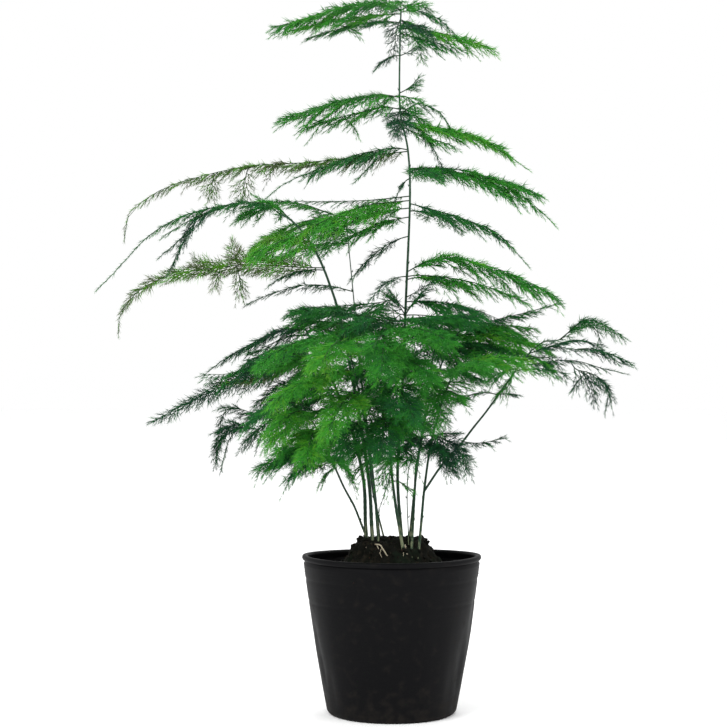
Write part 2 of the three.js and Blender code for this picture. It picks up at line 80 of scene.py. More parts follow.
bpy.ops.object.camera_add(location=EYE, rotation=(math.radians(90), 0, 0))
camera = bpy.context.object
camera.data.sensor_width = SENSOR
camera.data.lens = FOCAL_PIXELS * SENSOR / FRAME_PIXELS
bpy.context.scene.camera = camera

for place, size, power in LAMPS:
    bpy.ops.object.light_add(type="AREA", location=place)
    lamp = bpy.context.object
    lamp.data.size = size
    lamp.data.energy = power
    towards_plant = Vector(LAMPS_AIM) - lamp.location
    lamp.rotation_euler = towards_plant.to_track_quat("-Z", "Y").to_euler()

world = bpy.data.worlds.new("white tent")
world.use_nodes = True
world.node_tree.nodes["Background"].inputs["Color"].default_value = WHITE
world.node_tree.nodes["Background"].inputs["Strength"].default_value = 1.0
bpy.context.scene.world = world
bpy.context.scene.view_settings.view_transform = "Standard"

bpy.ops.mesh.primitive_circle_add(vertices=64, radius=FLOOR_RADIUS, fill_type="NGON")
floor = bpy.context.object
floor.name = "floor"
pale = bpy.data.materials.new("pale floor")
pale.use_nodes = True
pale.node_tree.nodes["Principled BSDF"].inputs["Base Color"].default_value = WHITE
pale.node_tree.nodes["Principled BSDF"].inputs["Roughness"].default_value = 0.9
floor.data.materials.append(pale)
floor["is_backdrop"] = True

# The pot
# One blow-moulded skin of soft black polythene, tapered so that pots stack, with a rim that is rolled
# outwards and six drain holes. The thin wall is out of round, ringed under the rim, and dented low down.
MM = 0.001
POT_HEIGHT = 106
BASE_RADIUS = 43
BASE_CORNER = 2.5
BASE_FLAT = BASE_RADIUS - BASE_CORNER
BASE_RINGS = (0, 8, 15, 20, 24, 28, 32, 36, BASE_FLAT)
SKIN = 0.5
ROLL_RADIUS = 1.65
ROLL_CENTRE = (58.1, 104.1)
WALL_TOP_RADIUS = 59.7
WALL_BULGE = 0.85
RIM_SAG = 2.6
# The two grooves under the rim, and the finer ones from there up to the foot of the rim.
RINGS = (75, 90)
RING_DEPTH = 0.3
RING_HALF_WIDTH = 0.9
FINE_RINGS_FROM = 78
FINE_RINGS_FADE = 8
FINE_RINGS_DEPTH = 0.05
FINE_RINGS_WAVE = 2.4
RIM_FOOT = 100
# The number round the pot, the depth and the start of each slow wave in the soft wall.
WAVES = [(2, 0.7, 0.6), (5, 0.4, 1.1)]
# The depth, the fineness round the pot and up the wall, and the start of its ripples and pleats.
PLEATS = [(0.45, 4, 0.03, 0), (0.22, 15, 0.012, 5)]
POT_STEPS = 90
POT_CREASE = math.radians(50)
DRAIN_HOLES = 6
DRAIN_RADIUS = 4
DRAIN_CIRCLE = 26
DRILL_SIDES = 24
DRILL_LENGTH = 4
# The angle, height, half width in degrees, half height and depth of each dent.
DENTS = [
    (197, 52, 5, 9, 1.0),
    (202, 32, 4, 13, 1.1),
    (213, 20, 5, 12, 0.7),
    (337, 34, 7, 24, 1.5),
    (325, 22, 5, 16, 0.8),
    (350, 66, 6, 16, 0.9),
    (20, 40, 7, 20, 1.2),
    (52, 58, 6, 18, 0.8),
    (84, 34, 6, 16, 1.0),
    (121, 50, 8, 22, 1.1),
    (160, 30, 5, 16, 0.9),
    (268, 12, 16, 8, 0.4),
]
POT_BLACK = (0.0035, 0.0035, 0.004, 1)
POT_DUST = (0.03, 0.025, 0.02, 1)


class Wire:
    """A number or a colour on its way through a material. Arithmetic on it adds the nodes."""

    def __init__(self, paint, socket):
        self.paint = paint
        self.socket = socket

    def __add__(self, other):
        return self.paint.maths("ADD", self, other)

    def __sub__(self, other):
        return self.paint.maths("SUBTRACT", self, other)

    def __rsub__(self, other):
        return self.paint.maths("SUBTRACT", other, self)

    def __mul__(self, other):
        return self.paint.maths("MULTIPLY", self, other)

    def __pow__(self, other):
        return self.paint.maths("POWER", self, other)

    __radd__ = __add__
    __rmul__ = __mul__


class Paint:
    """One material. Its constants go on the shader's own sockets, and node() adds what varies."""

    def __init__(self, name, constants):
        self.material = bpy.data.materials.new(name)
        self.material.use_nodes = True
        self.tree = self.material.node_tree
        self.shader = self.tree.nodes["Principled BSDF"]
        for socket, value in constants.items():
            self.shader.inputs[socket].default_value = value

    def feed(self, socket, value):
        if isinstance(value, Wire):
            self.tree.links.new(value.socket, socket)
        else:
            socket.default_value = value

    def node(self, kind, settings, inputs, output=0):
        node = self.tree.nodes.new("ShaderNode" + kind)
        for name, value in settings.items():
            if name == "stops":
                self.set_stops(node.color_ramp, value)
            else:
                setattr(node, name, value)
        for name, value in inputs.items():
            self.feed(node.inputs[name], value)
        return Wire(self, node.outputs[output])

    def set_stops(self, ramp, stops):
        for _ in stops[2:]:
            ramp.elements.new(0.5)
        for element, (position, colour) in zip(ramp.elements, stops):
            element.position = position
            element.color = colour

    def maths(self, operation, a, b):
        return self.node("Math", {"operation": operation}, {0: a, 1: b})

    def mix(self, factor, a, b):
        return self.node("Mix", {"data_type": "RGBA"}, {0: factor, 6: a, 7: b}, output=2)

    def fade(self, value, low, high):
        """0 where the value is at or under low, 1 at or over high, and smooth between."""
        settings = {"interpolation_type": "SMOOTHSTEP"}
        return self.node("MapRange", settings, {"Value": value, "From Min": low, "From Max": high})

    def grain(self, place, scale, detail=3):
        inputs = {"Vector": place, "Scale": scale, "Detail": detail}
        return self.node("TexNoise", {}, inputs)

    def place(self, stretch=(1, 1, 1)):
        """The point of the object that is being painted, squeezed or stretched along its axes."""
        coordinates = self.node("TexCoord", {}, {}, output="Object")
        return self.node("Mapping", {}, {"Vector": coordinates, "Scale": stretch})

    def height(self):
        return self.node("SeparateXYZ", {}, {0: self.place()}, output="Z")

    def finish(self, varying, bump=None, bump_depth=0.0002):
        for socket, value in varying.items():
            self.feed(self.shader.inputs[socket], value)
        if bump is not None:
            inputs = {"Height": bump, "Distance": bump_depth}
            self.feed(self.shader.inputs["Normal"], self.node("Bump", {}, inputs))
        return self.material


def wall_radius(z):
    """The radius of the wall's outside, which bulges a little between the base and the rim."""
    share = z / POT_HEIGHT
    straight = BASE_RADIUS + (WALL_TOP_RADIUS - BASE_RADIUS) * share
    return straight + WALL_BULGE * math.sin(math.pi * share)


def slack(angle, z):
    """How far the soft wall stands out or in, most of it between the stiff base and the rim."""
    free = math.sin(math.pi * min(max(z / POT_HEIGHT, 0), 1))
    push = 0
    for number, deep, start in WAVES:
        push += deep * math.sin(number * angle + start)
    push *= free
    for deep, around, upward, start in PLEATS:
        pleat = Vector((around * math.cos(angle), around * math.sin(angle), upward * z + start))
        push += deep * free * noise.noise(pleat)
    for at, middle, wide, high, deep in DENTS:
        aside = (math.degrees(angle) - at + 180) % 360 - 180
        push -= deep * math.exp(-((aside / wide) ** 2) - ((z - middle) / high) ** 2)
    for ring in RINGS:
        push -= RING_DEPTH * math.exp(-(((z - ring) / RING_HALF_WIDTH) ** 2))
    fine_rings = min(1, max(0, (z - FINE_RINGS_FROM) / FINE_RINGS_FADE)) * (z < RIM_FOOT)
    push += FINE_RINGS_DEPTH * math.sin(FINE_RINGS_WAVE * z) * fine_rings
    return push


def sag(angle, z):
    """How far the soft rim hangs down at the back."""
    return -RIM_SAG * max(0, math.sin(angle)) * (z / POT_HEIGHT) ** 6


def select_only(made):
    bpy.ops.object.select_all(action="DESELECT")
    made.select_set(True)
    bpy.context.view_layer.objects.active = made


def spun(name, profile, steps):
    """A new object: the profile, a line of (radius, height) from the axis, turned round the axis."""
    mesh = bpy.data.meshes.new(name)
    corners = [(r * MM, 0, z * MM) for r, z in profile]
    mesh.from_pydata(corners, [(i, i + 1) for i in range(len(corners) - 1)], [])
    made = bpy.data.objects.new(name, mesh)
    bpy.context.collection.objects.link(made)
    select_only(made)
    bpy.ops.object.mode_set(mode="EDIT")
    bpy.ops.mesh.select_all(action="SELECT")
    bpy.ops.mesh.spin(steps=steps, angle=2 * math.pi, center=(0, 0, 0), axis=(0, 0, 1))
    bpy.ops.mesh.select_all(action="SELECT")
    bpy.ops.mesh.remove_doubles(threshold=1e-6)
    bpy.ops.mesh.normals_make_consistent(inside=False)
    bpy.ops.object.mode_set(mode="OBJECT")
    return made


def apply_modifier(made, kind, **settings):
    modifier = made.modifiers.new(kind.title(), kind)
    for name, value in settings.items():
        setattr(modifier, name, value)
    bpy.context.view_layer.objects.active = made
    bpy.ops.object.modifier_apply(modifier=modifier.name)


def arc(centre, radius, turns):
    """Points of a profile on a circle, one for each turn in degrees."""
    angles = [math.radians(turn) for turn in turns]
    return [(centre[0] + radius * math.cos(a), centre[1] + radius * math.sin(a)) for a in angles]


def pot_profile():
    """The middle of the pot's skin, from the axis out over the base, up the wall and round the rim."""
    line = [(r, SKIN / 2) for r in BASE_RINGS]
    line += arc((BASE_FLAT, BASE_CORNER), BASE_CORNER - SKIN / 2, (-60, -30))
    plain = np.arange(BASE_CORNER, RINGS[0] - 2, 3.5)
    ringed = np.arange(RINGS[0] - 2, RIM_FOOT + 1)
    line += [(wall_radius(z) - SKIN / 2, z) for z in np.append(plain, ringed).tolist()]
    return line + arc(ROLL_CENTRE, ROLL_RADIUS, range(205, -75, -20))


def black_plastic():
    paint = Paint("black polythene", {"Specular IOR Level": 0.05})
    height = paint.height()
    smear = paint.grain(paint.place((1, 1, 0.35)), scale=55, detail=4)
    dust = paint.grain(paint.place(), scale=160, detail=5)
    low_down = 1 - paint.fade(height, 0.0, 0.03)
    settled = paint.fade(dust + 0.2 * low_down, 0.5, 0.95)
    colour = paint.mix(settled * 0.3, POT_BLACK, POT_DUST)
    lines = paint.grain(paint.place((0.05, 0.05, 1)), scale=900, detail=2)
    skin = paint.grain(paint.place(), scale=1400, detail=2)
    rough = 0.4 + 0.2 * smear + 0.2 * settled
    varying = {"Base Color": colour, "Roughness": rough}
    return paint.finish(varying, bump=0.7 * lines + 0.3 * skin, bump_depth=0.00012)


pot = spun("nursery_pot", pot_profile(), POT_STEPS)
for vertex in pot.data.vertices:
    x, y, z = vertex.co / MM
    r = math.hypot(x, y)
    angle = math.atan2(y, x)
    if r > BASE_FLAT:
        grown = 1 + slack(angle, z) / r
        vertex.co.x *= grown
        vertex.co.y *= grown
        vertex.co.z += sag(angle, z) * MM
apply_modifier(pot, "SOLIDIFY", thickness=SKIN * MM, offset=0)
drills = []
for hole in range(DRAIN_HOLES):
    a = 2 * math.pi * (hole + 0.5) / DRAIN_HOLES
    at = (DRAIN_CIRCLE * MM * math.cos(a), DRAIN_CIRCLE * MM * math.sin(a), 0)
    bpy.ops.mesh.primitive_cylinder_add(
        vertices=DRILL_SIDES, radius=DRAIN_RADIUS * MM, depth=DRILL_LENGTH * MM, location=at
    )
    drills.append(bpy.context.object)
for drill in drills:
    apply_modifier(pot, "BOOLEAN", operation="DIFFERENCE", object=drill)
    bpy.data.objects.remove(drill)
select_only(pot)
bpy.ops.object.shade_smooth_by_angle(angle=POT_CREASE)
pot.data.materials.append(black_plastic())
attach(pot, "root")
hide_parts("pot")

# The compost
# Dark, moist peat that fills the pot. The root ball that the plant was potted on with stands up out of
# it like a low stump, and crumbs, bark chips and peat fibres lie all over the open surface.
SOIL_FLOOR = 1.7
SOIL_GAP = 1.3
SOIL_EDGE = 92
SOIL_STEPS = 118
CRUMBS = 680
CRUMB_SHAPES = 4
CRUMB_SUBDIVISIONS = 1
CHIPS = 26
CHIP_SIZE = (2.6, 1.3, 0.4)
FIBRES = 240
FIBRE_RADIUS = 0.11
FIBRE_TAPER = np.array([0.7, 1, 1, 1, 0.8, 0.4])
PEAT = (0.006, 0.0062, 0.0045, 1)
PEAT_DRY = (0.022, 0.018, 0.012, 1)
BARK = (0.06, 0.026, 0.018, 1)
MOSS = (0.007, 0.015, 0.008, 1)
BALL_TOP = 116
BALL_RADIUS = 20
# The left and right sides of the root ball's top stand this much higher, in a band of this half width.
SHOULDER = 2.8
SHOULDER_WIDTH = 4.5
# The radius and height of each bend of the open surface, from the pot's wall in to the axis.
SURFACE = [(56.2, 92), (48, 94.5), (39, 96.5), (31.5, 100), (26.5, 107.5), (20.5, 114), (12, 116), (0, 116)]
SURFACE_LENGTHS = np.array([math.dist(a, b) for a, b in zip(SURFACE, SURFACE[1:])])
SURFACE_STEP = 1.3


def heap(x, y):
    """How far the open surface is heaped up or sunk at a place."""
    return 0.9 * math.sin(0.61 * x + 1.3) * math.cos(0.53 * y) + 0.6 * math.sin(0.9 * y - 0.37 * x)


def soil_place(x, y, z):
    """Where a point of the smooth mound lies once the compost is lumpy."""
    if z <= SOIL_EDGE:
        r = math.hypot(x, y)
        pressed = 1 + min(0, slack(math.atan2(y, x), z)) / r if r > BASE_RADIUS / 2 else 1
        return x * pressed, y * pressed, z
    lump = heap(x, y)
    fine = noise.noise(Vector((x, y, z)) * 0.55) + 0.6 * noise.noise(Vector((x, y, z)) * 1.3)
    free = min(1, (z - SOIL_EDGE) / 3)
    r = max(math.hypot(x, y), 1)
    z += SHOULDER * (x / BALL_RADIUS) ** 2 * math.exp(-(((r - BALL_RADIUS) / SHOULDER_WIDTH) ** 2))
    aside = free * (0.05 * lump * r + 0.8 * fine) / r
    return x * (1 + aside), y * (1 + aside), z + free * (lump + 0.7 * fine)


def soil_profile():
    """The filled pot from its floor's centre, up the wall, over the mound and in to the axis."""
    line = [(0, SOIL_FLOOR), (BASE_FLAT - 1, SOIL_FLOOR)]
    line += [(wall_radius(z) - SOIL_GAP, z) for z in range(6, SOIL_EDGE, 8)]
    radii = [r for r, _ in SURFACE]
    heights = [z for _, z in SURFACE]
    travelled = np.append(0, np.cumsum(SURFACE_LENGTHS))
    for at in np.arange(0, travelled[-1], SURFACE_STEP):
        line.append((np.interp(at, travelled, radii), np.interp(at, travelled, heights)))
    return line + [(0, BALL_TOP)]


def surface_spots(count, rng):
    """Places spread evenly over the open surface, from its edge in to the top of the root ball."""
    middles = np.array([(a[0] + b[0]) / 2 for a, b in zip(SURFACE, SURFACE[1:])])
    areas = SURFACE_LENGTHS * middles
    chances = areas / areas.sum()
    spots = []
    for band in rng.choice(len(chances), count, p=chances):
        (r0, z0), (r1, z1) = SURFACE[band], SURFACE[band + 1]
        share = rng.random()
        r = r0 + (r1 - r0) * share
        a = 2 * math.pi * rng.random()
        spots.append(soil_place(r * math.cos(a), r * math.sin(a), z0 + (z1 - z0) * share))
    return np.array(spots)


def shape_of(made):
    """The corners, in millimetres, and the triangles of a modelled shape, which is then put away."""
    made.data.calc_loop_triangles()
    corners = np.array([v.co for v in made.data.vertices]) / MM
    triangles = np.array([t.vertices for t in made.data.loop_triangles])
    bpy.data.objects.remove(made)
    return corners, triangles


def copies(shape, places, turns, sizes):
    """The corners and triangles of one copy of the shape for each place, turn (3x3) and size (1x3)."""
    corners, triangles = shape
    moved = np.einsum("nij,nkj->nki", turns, corners[None] * sizes[:, None, :]) + places[:, None, :]
    offsets = len(corners) * np.arange(len(places))
    return moved.reshape(-1, 3), (triangles[None] + offsets[:, None, None]).reshape(-1, 3)


def random_turns(count, rng):
    """Turns towards all sides, from quaternions spread evenly over the sphere."""
    quaternions = rng.normal(size=(4, count))
    w, x, y, z = quaternions / np.linalg.norm(quaternions, axis=0)
    rows = [
        [1 - 2 * (y * y + z * z), 2 * (x * y - z * w), 2 * (x * z + y * w)],
        [2 * (x * y + z * w), 1 - 2 * (x * x + z * z), 2 * (y * z - x * w)],
        [2 * (x * z - y * w), 2 * (y * z + x * w), 1 - 2 * (x * x + y * y)],
    ]
    return np.array(rows).transpose(2, 0, 1)


def bars(paths, radii, sides, reference=(0, 0, 1)):
    """Thin round bars along paths, an array of bars by points by 3, closed at both ends."""
    count, samples, _ = paths.shape
    along = np.gradient(paths, axis=1)
    along /= np.linalg.norm(along, axis=2, keepdims=True)
    across = np.cross(along, np.array(reference, float))
    across /= np.linalg.norm(across, axis=2, keepdims=True)
    upward = np.cross(along, across)
    turn = 2 * math.pi * np.arange(sides) / sides
    out = (
        np.cos(turn)[None, None, :, None] * across[:, :, None, :]
        + np.sin(turn)[None, None, :, None] * upward[:, :, None, :]
    )
    corners = paths[:, :, None, :] + radii[:, :, None, None] * out
    faces = []
    for i in range(samples - 1):
        for k in range(sides):
            a, b = i * sides + k, i * sides + (k + 1) % sides
            faces += [(a, b, b + sides), (a, b + sides, a + sides)]
    last = (samples - 1) * sides
    for k in range(1, sides - 1):
        faces += [(0, k + 1, k), (last, last + k, last + k + 1)]
    offsets = samples * sides * np.arange(count)
    triangles = np.array(faces)[None] + offsets[:, None, None]
    return corners.reshape(-1, 3), triangles.reshape(-1, 3)


def together(parts):
    """Several (corners, triangles) as one."""
    counts = np.cumsum([0] + [len(corners) for corners, _ in parts])
    corners = np.concatenate([corners for corners, _ in parts])
    triangles = np.concatenate([faces + start for (_, faces), start in zip(parts, counts)])
    return corners, triangles


def piece(name, corners, triangles, material, smooth=False):
    """A new object from corners in millimetres and triangles."""
    mesh = bpy.data.meshes.new(name)
    mesh.vertices.add(len(corners))
    mesh.vertices.foreach_set("co", (corners * MM).astype(np.float32).ravel())
    mesh.loops.add(triangles.size)
    mesh.loops.foreach_set("vertex_index", triangles.astype(np.int32).ravel())
    mesh.polygons.add(len(triangles))
    mesh.polygons.foreach_set("loop_start", np.arange(0, triangles.size, 3, dtype=np.int32))
    mesh.polygons.foreach_set("use_smooth", np.full(len(triangles), smooth))
    mesh.update(calc_edges=True)
    mesh.materials.append(material)
    made = bpy.data.objects.new(name, mesh)
    bpy.context.collection.objects.link(made)
    return made


def lumps_of(rng):
    """A few crumb shapes: round balls with their corners pushed in and out."""
    shapes = []
    for _ in range(CRUMB_SHAPES):
        bpy.ops.mesh.primitive_ico_sphere_add(subdivisions=CRUMB_SUBDIVISIONS, radius=MM)
        corners, triangles = shape_of(bpy.context.object)
        shapes.append((corners * rng.uniform(0.7, 1.2, (len(corners), 1)), triangles))
    return shapes


def chip_shape():
    """A bark chip: a bevelled flake, longer than wide."""
    bpy.ops.mesh.primitive_cube_add(size=2 * MM)
    chip = bpy.context.object
    apply_modifier(chip, "BEVEL", width=0.5 * MM, segments=1)
    return shape_of(chip)


def fibre_bars(count, rng):
    """Peat fibres that lie curled on the surface."""
    points = len(FIBRE_TAPER)
    starts = surface_spots(count, rng)
    headings = rng.uniform(0, 2 * math.pi, count)
    curls = rng.normal(0, 0.5, count)
    lengths = rng.uniform(3, 9, count)
    steps = np.arange(points)
    turning = headings[:, None] + curls[:, None] * steps
    moves = np.stack([np.cos(turning), np.sin(turning)], axis=2) * (lengths / (points - 1))[:, None, None]
    paths = np.zeros((count, points, 3))
    paths[:, :, :2] = starts[:, None, :2] + np.cumsum(moves, axis=1)
    rise = rng.uniform(0.1, 1.1, count)
    paths[:, :, 2] = starts[:, None, 2] + 0.25 + rise[:, None] * np.sin(math.pi * steps / (points - 1))
    return bars(paths, np.tile(FIBRE_RADIUS * FIBRE_TAPER, (count, 1)), sides=3)


def peat():
    paint = Paint("moist peat", {"Roughness": 0.95, "Specular IOR Level": 0.1})
    coarse = paint.grain(paint.place(), scale=240, detail=4)
    fine = paint.grain(paint.place(), scale=900)
    dry = paint.fade(coarse + 0.35 * fine, 0.66, 0.9)
    moss = paint.fade(paint.grain(paint.place(), scale=65), 0.56, 0.68)
    colour = paint.mix(moss * 0.45, paint.mix(dry * 0.7, PEAT, PEAT_DRY), MOSS)
    return paint.finish({"Base Color": colour}, bump=0.6 * coarse + 0.4 * fine, bump_depth=0.0008)


def litter():
    """Crumbs, chips and fibres: dark peat, with some of them brown or reddish."""
    paint = Paint("peat crumbs and bark", {"Roughness": 0.9, "Specular IOR Level": 0.1})
    patch = paint.grain(paint.place(), scale=420, detail=2)
    fine = paint.grain(paint.place(), scale=1500, detail=2)
    browned = paint.mix(paint.fade(patch, 0.5, 0.62), PEAT, PEAT_DRY)
    colour = paint.mix(paint.fade(patch, 0.66, 0.7), browned, BARK)
    return paint.finish({"Base Color": colour}, bump=fine, bump_depth=0.0003)


soil = spun("compost", soil_profile(), SOIL_STEPS)
for vertex in soil.data.vertices:
    vertex.co = Vector(soil_place(*(vertex.co / MM))) * MM
soil.data.materials.append(peat())
soil.data.shade_smooth()
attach(soil, "root")
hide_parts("soil")

soil_rng = np.random.default_rng(11)
litter_parts = []
for lump in lumps_of(soil_rng):
    count = CRUMBS // CRUMB_SHAPES
    sizes = soil_rng.gamma(3, 0.22, (count, 1)) + 0.25
    sizes = sizes * soil_rng.uniform(0.7, 1.2, (count, 3))
    spots = surface_spots(count, soil_rng)
    litter_parts.append(copies(lump, spots, random_turns(count, soil_rng), sizes))
chip_spots = surface_spots(CHIPS, soil_rng)
chip_sizes = np.array(CHIP_SIZE) * soil_rng.uniform(0.6, 1.3, (CHIPS, 3))
chip_turns = random_turns(CHIPS, soil_rng)
litter_parts.append(copies(chip_shape(), chip_spots, chip_turns, chip_sizes))
litter_parts.append(fibre_bars(FIBRES, soil_rng))
crumbs = piece("compost_crumbs", *together(litter_parts), litter())
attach(crumbs, "root")

# The surface roots
# Two pale root ends that have grown out of the front of the root ball and back into it, with a few fine
# side roots.
CURVE_STEPS = 24
ROOT_POINTS = 16
ROOT_SIDES = 8
# The radius of a root at its foot and at its tip.
ROOT_RADII = (0.5, 0.42)
SIDE_ROOT_RADII = (0.3, 0.15)
ROOTS = {
    "surface_root_left": [
        (-17, -16, 111.5), (-12.5, -17.4, 113.8), (-8, -20.2, 114), (-6, -23, 111.5), (-3, -26.8, 107.5)
    ],
    "surface_root_right": [(8.5, -19.5, 114), (9, -22.4, 111), (10, -24.8, 108)],
}
SIDE_ROOTS = {
    "surface_root_left": [
        [(-10, -19.5, 114), (-9, -22.5, 111.5), (-10, -24, 109)],
        [(-6.5, -22.4, 112.5), (-8, -24.4, 109.5), (-7, -26.8, 106.5)],
    ],
    "surface_root_right": [[(9, -22.4, 111), (7.6, -23.8, 109.4), (7.2, -25.6, 107)]],
}
ROOT_PALE = (0.46, 0.4, 0.29, 1)
ROOT_BROWN = (0.16, 0.11, 0.06, 1)


def distances(line):
    """How far each point of a line lies along it."""
    return np.append(0, np.cumsum(np.linalg.norm(np.diff(line, axis=0), axis=1)))


def read_line(line, marks, at):
    """The points of a line at some places along it, where marks are the places of its own points."""
    return np.stack([np.interp(at, marks, line[:, k]) for k in range(3)], axis=-1)


def curve_through(points, count):
    """Evenly spaced places on the smooth curve through the points."""
    knots = np.array(points, float)
    ends = np.vstack([2 * knots[0] - knots[1], knots, 2 * knots[-1] - knots[-2]])
    fine = []
    for i in range(1, len(ends) - 2):
        a, b, c, d = ends[i - 1 : i + 3]
        for t in np.linspace(0, 1, CURVE_STEPS, endpoint=i == len(ends) - 3):
            bent = 2 * a - 5 * b + 4 * c - d
            twist = 3 * (b - c) + d - a
            fine.append(b + 0.5 * (t * (c - a) + t * t * bent + t**3 * twist))
    fine = np.array(fine)
    travelled = distances(fine)
    return read_line(fine, travelled, np.linspace(0, travelled[-1], count))


def root_bar(points, radii, rng):
    """A root that runs through the points, slightly crooked and uneven."""
    path = curve_through(points, ROOT_POINTS)
    path += rng.normal(0, 0.12, path.shape)
    radii = np.linspace(*radii, ROOT_POINTS) * rng.uniform(0.88, 1.1, ROOT_POINTS)
    return bars(path[None], radii[None], ROOT_SIDES)


def root_skin():
    paint = Paint("pale root skin", {"Roughness": 0.75})
    streaks = paint.grain(paint.place(), scale=700, detail=4)
    colour = paint.mix(paint.fade(streaks, 0.5, 0.72), ROOT_PALE, ROOT_BROWN)
    return paint.finish({"Base Color": colour}, bump=streaks, bump_depth=0.0002)


skin = root_skin()
for name, points in ROOTS.items():
    rng = np.random.default_rng(len(points))
    parts = [root_bar(points, ROOT_RADII, rng)]
    parts += [root_bar(side, SIDE_ROOT_RADII, rng) for side in SIDE_ROOTS[name]]
    root = piece(name.replace("surface_", "pale_"), *together(parts), skin, smooth=True)
    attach(root, "root")
    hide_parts(name)

# The stems
# Twelve thin, wiry, dark green stems that stand in the root ball, pale and sheathed at the foot. Small
# dry scale leaves sit on them, and a frond has grown out above most of these.
BURIED = BALL_TOP - 24
STEM_RADIUS = 1.1
STEM_TIP_RADIUS = 0.5
BRANCH_RADIUS = 0.75
STEM_POINTS = 90
BRANCH_POINTS = 60
STEM_SIDES = 8
JOINT_SWELL = 0.12
SCALE_RADIUS = 0.45
SCALE_LENGTH = 2.2
SCALE_SPACING = 13
FIRST_SCALE = 40
GOLDEN_ANGLE = 2.4
# The stem's darker green low down, and its lighter green from 0.45 m up.
STEM_GREEN = (0.012, 0.04, 0.02, 1)
STEM_UPPER_GREEN = (0.022, 0.075, 0.035, 1)
STEM_PALE = (0.24, 0.26, 0.15, 1)

# The greens of fronds, as places on the scale of needle colours.
DEEP, DARK, MID, BRIGHT, LIME, OLIVE = 0.17, 0.32, 0.47, 0.58, 0.70, 0.82

# A frond is its height on the stem, the place of its tip, how far it would rise if it didn't bend, the
# reach of its longest side branches, how late it bends, the thin share at its tip, and its green. Then
# how strongly its side branches hang, the turn of its flat side about the rib in degrees, how loosely it
# is set with leaf, the places that its rib goes through, and its root if that isn't on the stem.
FROND_WORDS = "height x y z rise width bend whip tone hang roll loose via root"
Frond = namedtuple("Frond", FROND_WORDS, defaults=(0, 12, 2, 0, MID, 1, 0, 1, (), None))

